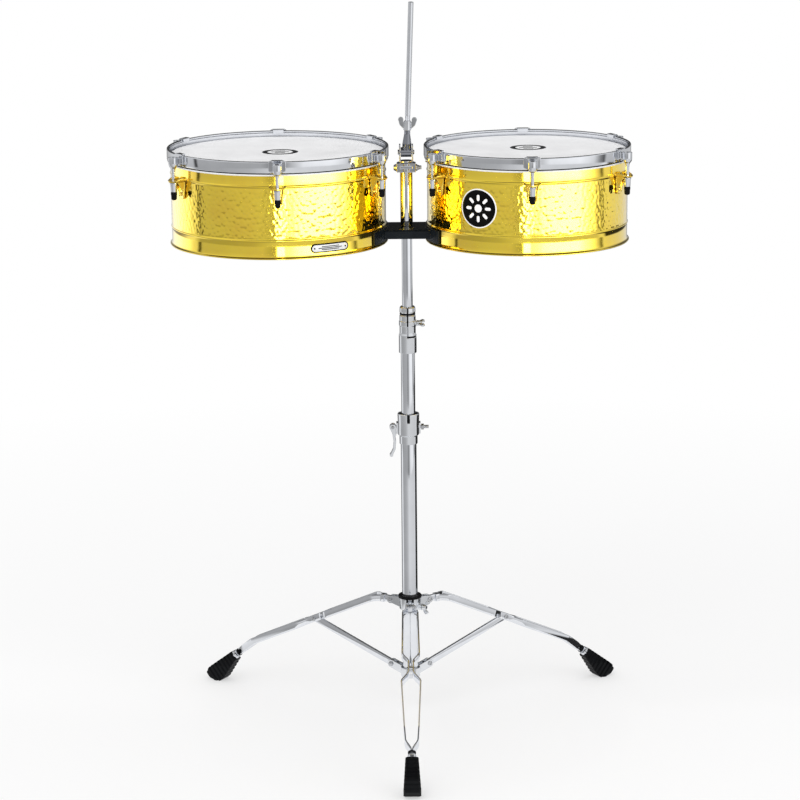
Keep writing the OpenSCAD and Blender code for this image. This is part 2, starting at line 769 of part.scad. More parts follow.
// Part of a ring about the drum's axis, width w along the rim, from radius r0 to r1
module rim_sector(r, r0, r1, z0, z1, w) {
    half_angle = asin(w / 2 / r);
    translate([-r, 0, 0]) rotate([0, 0, -half_angle]) rotate_extrude(angle = 2 * half_angle)
        translate([r + r0, z0]) square([r1 - r0, z1 - z0]);
}

// Claw over the hoop, open-topped cup and threaded rod
module tension_hook(r) {
    cup_r = 8.3;
    cup_top = -2.9;
    cup_bottom = -20.5;
    claw_t = 2.2;
    claw_in = hoop_proud + 0.2;
    rim_sector(r, claw_in, claw_in + claw_t, -19.5, 2.4, claw_w);
    rim_sector(r, -0.4, claw_in + 0.5, 0.15, 2.4, claw_w);
    rim_sector(r, -0.4, 1.3, -5, 0.5, claw_w);
    difference() {
        union() {
            translate([lug_reach, 0, cup_bottom]) cylinder(r = cup_r, h = cup_top - cup_bottom);
            translate([claw_in + 1, -6, cup_bottom + 2]) cube([6, 12, cup_top - cup_bottom - 3]);
        }
        translate([lug_reach, 0, cup_bottom + 6]) cylinder(r = cup_r - 1.8, h = 30);
    }
    translate([lug_reach, 0, cup_bottom - 5]) cylinder(r1 = 4, r2 = cup_r, h = 5);
    translate([lug_reach, 0, -cap_bottom + 4]) cylinder(r = hook_rod_r, h = cap_bottom + cup_bottom - 8);
}
module tension_hooks() {
    color("whitesmoke") {
        each_lug(left_x, left_r, left_turn) tension_hook(left_r);
        each_lug(right_x, right_r, right_turn) tension_hook(right_r);
    }
}

module tuning_nuts() {
    top = shelf_drop + shelf_t + 0.1;
    color("silver") every_lug() translate([lug_reach, 0, 0]) difference() {
        union() {
            translate([0, 0, -nut_bottom]) cylinder(r1 = 5.3, r2 = 6.1, h = nut_bottom - top);
            translate([0, 0, -top - 1.6]) cylinder(r = 7.2, h = 1.6);
        }
        translate([0, 0, -100]) cylinder(r = hook_rod_r + 0.02, h = 100);
    }
}

module nut_caps() {
    cap_r = 5.6;
    color("black") every_lug() translate([lug_reach, 0, 0]) difference() {
        union() {
            translate([0, 0, -cap_bottom + 3]) cylinder(r = cap_r, h = cap_bottom - nut_bottom - 3.1);
            translate([0, 0, -cap_bottom]) cylinder(r1 = cap_r - 2.2, r2 = cap_r, h = 3);
        }
        translate([0, 0, -cap_bottom + 3.9]) cylinder(r = hook_rod_r + 0.02, h = 60);
    }
}

module badge() {
    color("black") translate([right_x, 0, rim_z]) intersection() {
        rotate_extrude($fn = 128) translate([right_r, -badge_drop - badge_d]) square([1.2, 2 * badge_d]);
        rotate([0, 0, front_az + badge_az]) translate([right_r, 0, -badge_drop]) rotate([0, 90, 0])
            cylinder(r = badge_d / 2, h = 60, center = true);
    }
}

module nameplate() {
    color("silver") translate([left_x, 0, rim_z]) intersection() {
        rotate_extrude($fn = 128) translate([left_r, -plate_drop - plate_h]) square([1, 2 * plate_h]);
        rotate([0, 0, front_az + plate_az]) translate([left_r, 0, -plate_drop])
            rotate([90, 0, 90]) linear_extrude(height = 60, center = true) {
                square([plate_w - plate_h, plate_h], center = true);
                for (s = [-1, 1]) translate([s * (plate_w - plate_h) / 2, 0]) circle(r = plate_h / 2);
            }
    }
}

// ---- Accessory post ----

// Leans children with the rod about the top of the column
module leaning() {
    translate([0, 0, lean_z]) rotate([0, rod_lean, 0]) translate([0, 0, -lean_z]) children();
}

module post_yoke() {
    cheek = [2.6, 16, 31.5];
    color("silver") difference() {
        union() {
            translate([0, 0, yoke_z - 26]) cylinder(r = upper_r - tube_wall - running, h = 27);
            translate([0, 0, yoke_z]) cylinder(r = 12.6, h = 3);
            for (s = [-1, 1]) translate([s * 11.2, 0, yoke_z + 16]) cube(cheek, center = true);
        }
        translate([0, 0, yoke_pin_z]) rotate([0, 90, 0]) cylinder(r = yoke_pin_r, h = 60, center = true);
    }
}

module yoke_pin() {
    color("dimgray") translate([0, 0, yoke_pin_z]) rotate([0, 90, 0]) {
        cylinder(r = yoke_pin_r, h = 27, center = true);
        translate([0, 0, 12.5]) cylinder(r = yoke_pin_r + 1.9, h = 2.4);
        translate([0, 0, -14.9]) cylinder(r = yoke_pin_r + 1.9, h = 2.4, $fn = 6);
    }
}

module post_tilter() {
    barrel_r = 8.6;
    stem_r = 8;
    neck_r = 5.4;
    cone_bottom = 1064;
    color("gray") difference() {
        union() {
            translate([0, 0, yoke_pin_z]) rotate([0, 90, 0]) cylinder(r = barrel_r, h = 19.2, center = true);
            leaning() {
                translate([0, 0, yoke_pin_z]) cylinder(r = stem_r, h = cone_bottom - yoke_pin_z);
                translate([0, 0, cone_bottom]) cylinder(r1 = stem_r, r2 = neck_r, h = cone_top - cone_bottom);
                translate([0, 0, cone_top - eps]) cylinder(r = neck_r, h = neck_top - cone_top + eps);
            }
        }
        translate([0, 0, yoke_pin_z]) rotate([0, 90, 0])
            cylinder(r = yoke_pin_r + running, h = 60, center = true);
        leaning() translate([0, 0, rod_bottom]) cylinder(r = shank_r + running, h = 60);
    }
}

module rod_wing_nut() {
    wing_t = 3.6;
    lobe_r = 4.8;
    lobe_x = 12;
    hub_h = 17;
    color("silver") leaning() difference() {
        union() {
            translate([0, 0, wing_nut_z]) cylinder(r1 = 7, r2 = 5.8, h = hub_h);
            rotate([90, 0, 0]) linear_extrude(height = wing_t, center = true) for (s = [-1, 1]) {
                polygon([[s * 5, wing_nut_z + 1], [s * (lobe_x + 2), wing_nut_z + 9],
                    [s * (lobe_x + lobe_r), wing_nut_z + 19], [s * (lobe_x - 3), wing_nut_z + 21],
                    [s * 5, wing_nut_z + 10]]);
                translate([s * lobe_x, wing_nut_z + 18.5]) circle(r = lobe_r);
            }
        }
        translate([0, 0, wing_nut_z - 1]) cylinder(r = shank_r + slip, h = 60);
    }
}

module rod() {
    rod_end = 1.3;
    color("silver") leaning() {
        translate([0, 0, rod_bottom]) cylinder(r = shank_r, h = rod_grip_z - rod_bottom + 1);
        translate([0, 0, rod_grip_z]) cylinder(r = rod_r, h = rod_top - rod_grip_z - rod_end);
        translate([0, 0, rod_top - rod_end - eps]) cylinder(r1 = rod_r - 0.1, r2 = rod_r - 1.2, h = rod_end);
    }
}

base_tube();
brace_hub();
brace_hub_pins();
base_clamp();
base_clamp_bushing();
clamp_bolt();
cam_pin();
cam_lever();
brace_front();
brace_left();
brace_right();
leg_front_bars();
leg_left_bars();
leg_right_bars();
leg_front_bolt();
leg_left_bolt();
leg_right_bolt();
leg_front_ferrule();
leg_left_ferrule();
leg_right_ferrule();
foot_front();
foot_left();
foot_right();
leg_hub();
leg_hub_bushing();
leg_hub_pins();
hub_wing_bolt();
mid_tube();
mid_clamp();
mid_clamp_bushing();
mid_wing_bolt();
upper_tube();
upper_tube_bushing();
bracket_plate();
bracket_bolts();
bracket_tube();
bracket_collar();
collar_bolt();
left_shell();
right_shell();
left_head();
right_head();
left_flesh_hoop();
right_flesh_hoop();
left_hoop();
right_hoop();
left_lug_brackets();
right_lug_brackets();
lug_bolts();
tension_hooks();
tuning_nuts();
nut_caps();
badge();
nameplate();
post_yoke();
yoke_pin();
post_tilter();
rod_wing_nut();
rod();
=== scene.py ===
# Timbales on a folding stand: the looks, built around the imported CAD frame.
# Shapes are drawn in millimetres in the CAD model's axes, and turned into metres when they become objects.
import json
import math

import bmesh
import bpy
import numpy as np
from mathutils import Matrix, Vector


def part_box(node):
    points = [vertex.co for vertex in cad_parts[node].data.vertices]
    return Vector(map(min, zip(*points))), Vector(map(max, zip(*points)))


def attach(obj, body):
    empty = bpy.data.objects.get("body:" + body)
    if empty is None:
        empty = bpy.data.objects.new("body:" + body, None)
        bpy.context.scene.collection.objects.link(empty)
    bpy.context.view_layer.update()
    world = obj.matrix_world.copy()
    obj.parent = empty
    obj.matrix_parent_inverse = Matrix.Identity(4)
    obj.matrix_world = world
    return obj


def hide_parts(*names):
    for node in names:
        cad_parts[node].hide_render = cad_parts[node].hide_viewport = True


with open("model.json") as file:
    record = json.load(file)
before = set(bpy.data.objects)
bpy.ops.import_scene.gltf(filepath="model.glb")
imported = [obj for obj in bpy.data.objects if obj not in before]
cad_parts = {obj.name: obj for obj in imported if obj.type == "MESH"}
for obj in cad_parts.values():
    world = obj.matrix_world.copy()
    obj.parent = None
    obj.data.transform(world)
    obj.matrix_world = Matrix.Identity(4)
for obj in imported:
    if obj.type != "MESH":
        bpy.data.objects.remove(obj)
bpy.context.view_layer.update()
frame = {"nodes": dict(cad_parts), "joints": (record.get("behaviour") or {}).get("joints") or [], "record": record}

MM = 0.001
UP = Vector((0, 0, 1))
SLOT = {part["node"]: part["material_slot"] for part in frame["record"]["subparts"]}
BODY = {node: body for body, nodes in frame["record"]["behaviour"]["bodies"].items() for node in nodes}


# ------ numbers read from the frame

def corners(node):
    """Lowest and highest corner of a CAD node, in millimetres."""
    low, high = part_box(node)
    return low / MM, high / MM


def joint(name):
    """A joint's position in millimetres and its axis."""
    found = next(j for j in frame["joints"] if j["name"] == name)
    return Vector(found.get("pos_m", (0, 0, 0))) / MM, Vector(found["axis"]).normalized()


# How far a hoop stands out beyond its shell
HOOP_PROUD = 6.0


def drum_place(side, turned):
    """A drum's centre line, shell radius and rim height, and the angle that its lugs are turned by."""
    low, high = corners(side + "_hoop")
    return {"side": side, "x": (low.x + high.x) / 2, "r": (high.x - low.x) / 2 - HOOP_PROUD, "rim": high.z,
            "turn": turned}


DRUMS = [drum_place("left", 1.9), drum_place("right", 0.1)]


# ------ shapes: (points, faces) in millimetres

def rect(x0, y0, x1, y1):
    return [(x0, y0), (x1, y0), (x1, y1), (x0, y1)]


def arc(cx, cy, r, a0, a1, steps):
    """Points of an arc, angles in degrees."""
    angles = [math.radians(a0 + (a1 - a0) * i / steps) for i in range(steps + 1)]
    return [(cx + r * math.cos(a), cy + r * math.sin(a)) for a in angles]


def fillet(points, radius, steps=3):
    """A closed outline with its corners rounded. radius is one number, or one for each corner."""
    radii = radius if hasattr(radius, "__len__") else [radius] * len(points)
    out = []
    for i, j in pairs(len(points)):
        p = Vector(points[i])
        a, b = Vector(points[i - 1]) - p, Vector(points[j]) - p
        half = a.angle(b) / 2 if radii[i] > 0 else math.pi / 2
        if half > math.radians(88):
            out.append(tuple(p))
            continue
        reach = min(radii[i] / math.tan(half), 0.48 * a.length, 0.48 * b.length)
        a.normalize()
        b.normalize()
        centre = p + (a + b).normalized() * (reach * math.tan(half) / math.sin(half))
        start, end = p + a * reach - centre, p + b * reach - centre
        bend = start.angle_signed(end)
        for k in range(steps + 1):
            spoke = start.copy()
            spoke.rotate(Matrix.Rotation(-bend * k / steps, 2))
            out.append(tuple(centre + spoke))
    return out


def pairs(n, closed=True):
    """Each number below n with the next one."""
    return [(i, (i + 1) % n) for i in range(n if closed else n - 1)]


def grid(rows, across, closed=True):
    """The faces between rows of points, each row holding the same number and closed on itself or open."""
    return [(k * across + i, k * across + j, m * across + j, m * across + i)
            for k, m in pairs(rows, False) for i, j in pairs(across, closed)]


def lathe(profile, segments=48):
    """A closed profile of (radius, height) turned about Z."""
    n = len(profile)
    angles = [2 * math.pi * i / segments for i in range(segments)]
    points = [(r * math.cos(a), r * math.sin(a), z) for a in angles for r, z in profile]
    faces = [(i * n + k, j * n + k, j * n + m, i * n + m) for i, j in pairs(segments) for k, m in pairs(n)]
    return np.array(points), faces


def loft(rings):
    """A solid through rings of points, capped at both ends."""
    n = len(rings[0])
    points = [p for ring in rings for p in ring]
    caps = [tuple(range(n))[::-1], tuple(range(len(points) - n, len(points)))]
    return np.array(points), caps[:1] + grid(len(rings), n) + caps[1:]


def inset(outline, d):
    """A counter-clockwise outline moved inwards by d."""
    out = []
    for i, j in pairs(len(outline)):
        p = Vector(outline[i])
        a, b = (p - Vector(outline[i - 1])).normalized(), (Vector(outline[j]) - p).normalized()
        na, nb = Vector((-a.y, a.x)), Vector((-b.y, b.x))
        m = (na + nb).normalized() if (na + nb).length > 1e-6 else na
        out.append(tuple(p + m * d / max(0.5, m.dot(na))))
    return out


def prism(outline, z0, z1, bevel=0.0, steps=2):
    """An outline in X and Y raised from z0 to z1, its edges rounded by bevel."""
    area = sum(outline[i - 1][0] * y - x * outline[i - 1][1] for i, (x, y) in enumerate(outline))
    if area < 0:
        outline = outline[::-1]
    if bevel == 0:
        return loft([[(x, y, z) for x, y in outline] for z in (z0, z1)])
    low, high = [], []
    for k in range(steps + 1):
        a = math.pi / 2 * k / steps
        ring, rise = inset(outline, bevel * (1 - math.sin(a))), bevel * (1 - math.cos(a))
        low.append([(x, y, z0 + rise) for x, y in ring])
        high.append([(x, y, z1 - rise) for x, y in ring])
    return loft(low + high[::-1])


def side_prism(outline, y0, y1, bevel=0.0, steps=2):
    """As prism, for an outline in X and Z raised along Y."""
    points, faces = prism(outline, -y1, -y0, bevel, steps)
    return np.column_stack([points[:, 0], -points[:, 2], points[:, 1]]), faces


def sweep(path, section):
    """A closed section swept along a path. section(i) gives its (across, up) points at path point i."""
    path = [Vector(p) for p in path]
    count = len(path)
    rings = []
    for i in range(count):
        tangent = (path[min(i + 1, count - 1)] - path[max(i - 1, 0)]).normalized()
        across = tangent.cross(UP).normalized()
        up = across.cross(tangent).normalized()
        rings.append([tuple(path[i] + across * u + up * v) for u, v in section(i)])
    return loft(rings)


def merge(*shapes):
    points, faces, start = [], [], 0
    for p, f in shapes:
        points.append(p)
        faces.extend(tuple(i + start for i in face) for face in f)
        start += len(p)
    return np.vstack(points), faces


def moved(shape, matrix):
    points, faces = shape
    m = np.array(matrix.to_4x4(), float)
    return points @ m[:3, :3].T + m[:3, 3], faces


def at(x=0.0, y=0.0, z=0.0):
    return Matrix.Translation((x, y, z))


def turn(degrees, axis="Z"):
    return Matrix.Rotation(math.radians(degrees), 4, axis)


def along(point, direction):
    """Takes shapes drawn about +Z to a point, pointing along a direction."""
    return Matrix.Translation(point) @ Vector(direction).to_track_quat("Z", "Y").to_matrix().to_4x4()


def winged(point, axis, degrees):
    """Like along(), with the shape's X turned by an angle from level."""
    level = UP.cross(axis).normalized()
    wings = level * math.cos(math.radians(degrees)) + UP * math.sin(math.radians(degrees))
    turned = Matrix((wings, Vector(axis).cross(wings), axis)).transposed()
    return Matrix.Translation(point) @ turned.to_4x4()


# ------ objects

# Points nearer than this, in millimetres, are one point
DOUBLED = 0.002
BRASS_PIECES = bpy.data.collections.new("brass_pieces")


def link_new(name, data):
    obj = bpy.data.objects.new(name, data)
    bpy.context.scene.collection.objects.link(obj)
    return obj


def mend(mesh):
    """Joins doubled points and turns every face outwards."""
    bm = bmesh.new()
    bm.from_mesh(mesh)
    bmesh.ops.remove_doubles(bm, verts=bm.verts, dist=DOUBLED * MM)
    bmesh.ops.dissolve_degenerate(bm, edges=bm.edges, dist=1e-7)
    bmesh.ops.recalc_face_normals(bm, faces=bm.faces)
    bm.to_mesh(mesh)
    bm.free()
    return mesh


def sharpen(mesh, degrees):
    """Smooth shading that keeps edges sharper than an angle."""
    mesh.polygons.foreach_set("use_smooth", [True] * len(mesh.polygons))
    bm = bmesh.new()
    bm.from_mesh(mesh)
    limit = math.radians(degrees)
    for edge in bm.edges:
        edge.smooth = len(edge.link_faces) == 2 and edge.calc_face_angle(0) < limit
    bm.to_mesh(mesh)
    bm.free()


def mesh_of(shape, name="shape"):
    points, faces = shape
    mesh = bpy.data.meshes.new(name)
    mesh.from_pydata((points * MM).tolist(), [], faces)
    return mend(mesh)


def shape_of(mesh):
    points = np.array([vertex.co[:] for vertex in mesh.vertices]) / MM
    return points, [tuple(face.vertices) for face in mesh.polygons]


def piece(name, shape, body, slot, material=None, replaces=(), sharp=32):
    """One piece of the object, made from a shape, riding on a CAD body."""
    mesh = mesh_of(shape, name)
    sharpen(mesh, sharp)
    return place(name, mesh, body, slot, material, replaces)


def place(name, mesh, body, slot, material=None, replaces=()):
    mesh.name = name
    mesh.materials.clear()
    mesh.materials.append(material or MATERIALS[slot])
    obj = link_new(name, mesh)
    if slot in ("hammered_brass", "gold_plate"):
        BRASS_PIECES.objects.link(obj)
    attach(obj, body)
    if replaces:
        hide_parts(*replaces)
    return obj


def softened(mesh, voxel, rounds, keep):
    """A mesh rebuilt in small cells and eased, so that its edges are rounded like a casting's."""
    obj = link_new("softening", mesh)
    remesh = obj.modifiers.new("cells", "REMESH")
    remesh.mode = "VOXEL"
    remesh.voxel_size = voxel * MM
    smooth = obj.modifiers.new("ease", "SMOOTH")
    smooth.factor = 0.5
    smooth.iterations = rounds
    obj.modifiers.new("lighter", "DECIMATE").ratio = keep
    graph = bpy.context.evaluated_depsgraph_get()
    out = bpy.data.meshes.new_from_object(obj.evaluated_get(graph), depsgraph=graph)
    bpy.data.objects.remove(obj)
    out.polygons.foreach_set("use_smooth", [True] * len(out.polygons))
    return out


def cad_mesh(node):
    return mend(frame["nodes"][node].data.copy())


def cast_from_cad(node, voxel=0.5, rounds=3, keep=0.4, material=None):
    """The CAD node's own shape with softened edges."""
    mesh = softened(cad_mesh(node), voxel, rounds, keep)
    return place(node + "_cast", mesh, BODY[node], SLOT[node], material, (node,))


def cast(name, shape, node, voxel, rounds=3):
    """Overlapping closed shapes joined into one casting that takes a CAD node's place."""
    return place(name, softened(mesh_of(shape), voxel, rounds, 0.4), BODY[node], SLOT[node], None, (node,))


def refined(name, shape, node, sharp=32, material=None):
    """A finer shape that takes a CAD node's place."""
    return piece(name, shape, BODY[node], SLOT[node], material, (node,), sharp)


# ------ materials

class Nodes:
    """A short way to write a material's nodes."""

    def __init__(self, name, shader="ShaderNodeBsdfPrincipled"):
        self.material = bpy.data.materials.new(name)
        self.material.use_nodes = True
        self.tree = self.material.node_tree
        self.tree.nodes.clear()
        self.out = self.add("ShaderNodeOutputMaterial")
        self.shader = self.add(shader)
        self.link(self.shader.outputs[0], self.out.inputs[0])

    def add(self, kind, **inputs):
        return self.fill(self.tree.nodes.new(kind), inputs)

    def set(self, **inputs):
        self.fill(self.shader, inputs)

    def fill(self, node, inputs):
        """Gives each named input of a node a number, a colour, or another node's output."""
        for key, value in inputs.items():
            self.put(node, key.replace("_", " "), value)
        return node

    def put(self, node, key, value):
        if hasattr(value, "is_linked"):
            self.link(value, node.inputs[key])
        else:
            node.inputs[key].default_value = value

    def link(self, a, b):
        self.tree.links.new(a, b)

    def noise(self, scale, detail=3.0, roughness=0.5, stretch=None):
        where = self.add("ShaderNodeTexCoord").outputs["Object"]
        if stretch:
            where = self.add("ShaderNodeMapping", Vector=where, Scale=stretch).outputs[0]
        node = self.add("ShaderNodeTexNoise", Vector=where, Scale=scale, Detail=detail, Roughness=roughness)
        return node.outputs["Fac"]

    def ramp(self, value, stops):
        node = self.add("ShaderNodeValToRGB", Fac=value)
        while len(node.color_ramp.elements) < len(stops):
            node.color_ramp.elements.new(0.5)
        for element, (position, colour) in zip(node.color_ramp.elements, stops):
            element.position = position
            element.color = (*colour, 1)
        return node.outputs[0]

    def span(self, value, low, high, out_low, out_high):
        return self.add("ShaderNodeMapRange", Value=value, From_Min=low, From_Max=high, To_Min=out_low,
                        To_Max=out_high).outputs[0]

    def math(self, operation, a, b):
        node = self.add("ShaderNodeMath")
        node.operation = operation
        self.put(node, 0, a)
        self.put(node, 1, b)
        return node.outputs[0]

    def bump(self, height, strength, distance, **under):
        """A bump; under may give the normal that it is added to."""
        node = self.add("ShaderNodeBump", Height=height, Strength=strength, Distance=distance, **under)
        return node.outputs[0]


def chrome(name, tint, rough_low, rough_high, ripple, metal=1.0):
    """Plated metal: faint smears, hairline scratches and a slight ripple in the polish."""
    n = Nodes(name)
    smear = n.noise(14.0, 4.0, 0.6)
    hairs = n.noise(900.0, 2.0, 0.7, stretch=(1.0, 1.0, 0.04))
    wave = n.noise(38.0, 2.0, 0.4)
    bright = tuple(min(1.0, c * 1.03) for c in tint)
    dull = tuple(c * 0.93 for c in tint)
    n.set(Base_Color=n.ramp(smear, [(0.35, dull), (0.65, bright)]), Metallic=metal)
    fine = n.math("MULTIPLY", hairs, 0.25)
    n.set(Roughness=n.span(n.math("ADD", smear, fine), 0.4, 0.85, rough_low, rough_high))
    soft = n.bump(wave, ripple, 0.002)
    n.set(Normal=n.bump(hairs, 0.02, 0.0004, Normal=soft))
    return n.material


def brass(name, tint, rough_low, rough_high, ripple):
    """Polished brass under lacquer: warmer patches, faint spinning lines and dull spots."""
    n = Nodes(name)
    patch = n.noise(9.0, 5.0, 0.6)
    lines = n.noise(420.0, 2.0, 0.6, stretch=(0.05, 0.05, 1.0))
    spots = n.noise(160.0, 2.0, 0.5)
    warm = (tint[0] * 0.93, tint[1] * 0.84, tint[2] * 0.72)
    pale = (tint[0], tint[1] * 1.04, tint[2] * 1.25)
    n.set(Base_Color=n.ramp(patch, [(0.3, warm), (0.52, tint), (0.75, pale)]), Metallic=1.0)
    mixed = n.math("ADD", patch, n.math("MULTIPLY", spots, 0.35))
    n.set(Roughness=n.span(mixed, 0.45, 0.95, rough_low, rough_high))
    soft = n.bump(n.noise(45.0, 2.0, 0.4), ripple, 0.002)
    n.set(Normal=n.bump(lines, 0.03, 0.0004, Normal=soft),
          Coat_Weight=1.0, Coat_IOR=1.68, Coat_Roughness=0.05)
    return n.material


def mottled(name, cloud, colours, roughs, grain, strength, depth, **more):
    """Colour and roughness follow a cloudy noise, and a finer noise stands out as grain."""
    n = Nodes(name)
    cloudy = n.noise(*cloud)
    n.set(Base_Color=n.ramp(cloudy, colours), Roughness=n.span(cloudy, 0.3, 0.7, *roughs))
    n.set(Normal=n.bump(n.noise(*grain), strength, depth), **more)
    return n.material


def plastic(name, dark, light, roughs, grain_scale, strength, shine):
    """Black rubber, nylon or powder coat, told apart by gloss and grain."""
    return mottled(name, (30.0, 4.0, 0.65), [(0.35, dark), (0.75, light)], roughs, (grain_scale, 3.0, 0.6),
                   strength, 0.0005, Specular_IOR_Level=shine)


MATERIALS = {
    "chrome": chrome("chrome_plate", (0.82, 0.84, 0.88), 0.03, 0.09, 0.02),
    "cast_chrome": chrome("chrome_casting", (0.78, 0.80, 0.83), 0.07, 0.15, 0.10),
    "steel_bolt": mottled(
        "bright_steel", (300.0, 3.0, 0.6), [(0.3, (0.42, 0.43, 0.45)), (0.7, (0.68, 0.69, 0.71))],
        (0.22, 0.4), (300.0, 3.0, 0.6), 0.15, 0.0004, Metallic=1.0),
    "hammered_brass": brass("lacquered_brass", (0.94, 0.69, 0.02), 0.05, 0.12, 0.04),
    "gold_plate": brass("gold_plate", (0.93, 0.66, 0.06), 0.06, 0.14, 0.08),
    "drum_head": mottled(
        "coated_film", (16.0, 4.0, 0.6), [(0.3, (0.91, 0.91, 0.92)), (0.7, (0.97, 0.97, 0.98))],
        (0.34, 0.44), (1400.0, 2.0, 0.6), 0.12, 0.0003),
    "flesh_hoop": chrome("rolled_aluminium", (0.93, 0.94, 0.95), 0.34, 0.46, 0.06, 0.25),
    "black_coat": plastic("powder_coat", (0.003, 0.005, 0.008), (0.008, 0.012, 0.017), (0.30, 0.42), 700,
                          0.25, 0.18),
    "black_nylon": plastic("nylon", (0.002, 0.002, 0.003), (0.007, 0.007, 0.008), (0.34, 0.46), 500, 0.15,
                           0.12),
    "black_rubber": plastic("rubber", (0.002, 0.002, 0.003), (0.007, 0.008, 0.009), (0.4, 0.6), 900, 0.3,
                            0.12),
    "badge_enamel": plastic("badge_black", (0.002,) * 3, (0.005,) * 3, (0.12, 0.22), 60, 0.02, 0.08),
    "nameplate_metal": chrome("nameplate_metal", (0.92, 0.93, 0.94), 0.24, 0.36, 0.03, 0.4),
}


def printed_ink():
    n = Nodes("printed_ink")
    wear = n.noise(220.0, 4.0, 0.7)
    n.set(Base_Color=n.ramp(wear, [(0.3, (0.012, 0.013, 0.015)), (0.8, (0.035, 0.037, 0.04))]), Roughness=0.5)
    return n.material


INK = printed_ink()
DARK_CHROME = chrome("dark_chrome", (0.30, 0.31, 0.34), 0.08, 0.16, 0.10)


# ------ camera, floor and light

CAMERA_AT = (-0.0149, -5.0959, 1.7942)
CAMERA_TILT, CAMERA_ROLL = 76.783, -0.537
LENS = 130.2


def build_camera():
    data = bpy.data.cameras.new("camera")
    data.lens = LENS
    data.sensor_width = 36.0
    data.clip_end = 200
    camera = link_new("camera", data)
    camera.matrix_world = at(*CAMERA_AT) @ turn(CAMERA_TILT, "X") @ turn(CAMERA_ROLL)
    bpy.context.scene.camera = camera


# Brightness of the studio as the polished metal sees it, by azimuth from the front, positive to the right
WALL_GLOW = [
    (-180, 0.12), (-165, 0.30), (-150, 0.55), (-125, 0.75), (-109, 0.70), (-94, 0.60), (-91, 0.08),
    (-89, 0.08), (-87, 0.46), (-60, 0.44), (-18, 0.46), (-8, 0.32), (0, 0.30), (8, 0.42), (14, 0.62),
    (25, 1.0), (58, 1.1), (68, 0.95), (76, 0.80), (84, 0.30), (90, 0.10), (94, 0.60), (150, 0.60),
    (165, 0.30), (180, 0.12),
]
# What brass sees besides: a lamp strip in front, a large soft box on the right and a smaller one on the left
BRASS_GLOW = [
    (-180, 0.0), (-165, 0.2), (-150, 0.5), (-125, 1.1), (-109, 0.9), (-100, 0.4), (-94, 0.3), (-91, 0.0),
    (-89, 0.0), (-87, 0.14), (-60, 0.18), (-18, 0.24), (-8, 0.18), (-4, 0.18), (-3, 8.5), (4, 8.5),
    (5, 2.6), (12, 3.4), (20, 5.6), (30, 6.4), (58, 6.2), (68, 3.0), (78, 1.0), (86, 0.5), (90, 0.0),
    (94, 0.35), (118, 0.25), (150, 0.2), (165, 0.0), (180, 0.0),
]
# The same for the floor round the object
FLOOR_GLOW = [
    (-180, 0.22), (-150, 0.25), (-128, 0.30), (-118, 0.60), (-110, 1.0), (-100, 1.0), (-90, 0.42),
    (-60, 0.42), (-30, 0.50), (-10, 0.68), (0, 0.78), (60, 0.72), (85, 0.70), (91, 0.95), (95, 0.85),
    (99, 0.03), (150, 0.03), (180, 0.22),
]
# Each row of the surround: radius and height in metres, share of the wall's glow, share of the floor's glow
# and a glow of its own that fades behind the object
SURROUND_ROWS = [
    (0.02, 5.4, 0.0, 0.0, 0.15), (1.2, 5.2, 0.0, 0.0, 0.15), (2.4, 4.9, 0.0, 0.0, 0.12),
    (2.7, 4.75, 0.0, 0.0, 0.06), (3.3, 4.3, 0.0, 0.0, 0.06), (3.5, 4.1, 0.0, 0.0, 0.9),
    (4.2, 2.9, 0.1, 0.0, 0.8), (4.2, 1.5, 0.6, 0.0, 0.3), (4.2, 0.6, 1.0, 0.0, 0.0),
    (4.2, 0.08, 0.92, 0.0, 0.0), (4.15, 0.03, 0.0, 1.0, 0.0), (2.0, 0.03, 0.0, 1.0, 0.0),
    (0.8, 0.03, 0.0, 1.0, 0.0), (0.4, 0.03, 0.0, 0.8, 0.0),
]
# Each row of the brass's lamps: radius, height and share of their glow
BRASS_ROWS = [(4.0, 2.4, 0.0), (4.0, 1.4, 0.7), (4.0, 0.7, 1.0), (4.0, 0.12, 1.0), (4.0, 0.05, 0.35)]
AZIMUTHS = np.arange(-180, 181)


def glowing_ring(name, rows, clear=False):
    """A mesh of revolution, seen only in reflections; rows hold (radius, height, glow for each azimuth)."""
    points, glow = [], []
    for radius, z, values in rows:
        for azimuth, value in zip(AZIMUTHS, values):
            a = math.radians(azimuth)
            points.append((radius * math.sin(a), -radius * math.cos(a), z))
            glow.append(value)
    mesh = bpy.data.meshes.new(name)
    mesh.from_pydata(points, [], grid(len(rows), len(AZIMUTHS), False))
    mesh.attributes.new("glow", "FLOAT", "POINT").data.foreach_set("value", glow)
    n = Nodes(name, "ShaderNodeEmission")
    reader = n.add("ShaderNodeAttribute")
    reader.attribute_name = "glow"
    n.set(Strength=reader.outputs["Fac"])
    if clear:
        both = n.add("ShaderNodeAddShader")
        n.link(n.shader.outputs[0], both.inputs[0])
        n.link(n.add("ShaderNodeBsdfTransparent").outputs[0], both.inputs[1])
        n.link(both.outputs[0], n.out.inputs[0])
    n.material.cycles.emission_sampling = "NONE"
    mesh.materials.append(n.material)
    obj = link_new(name, mesh)
    obj.visible_camera = obj.visible_diffuse = obj.visible_shadow = obj.visible_transmission = False
    return obj


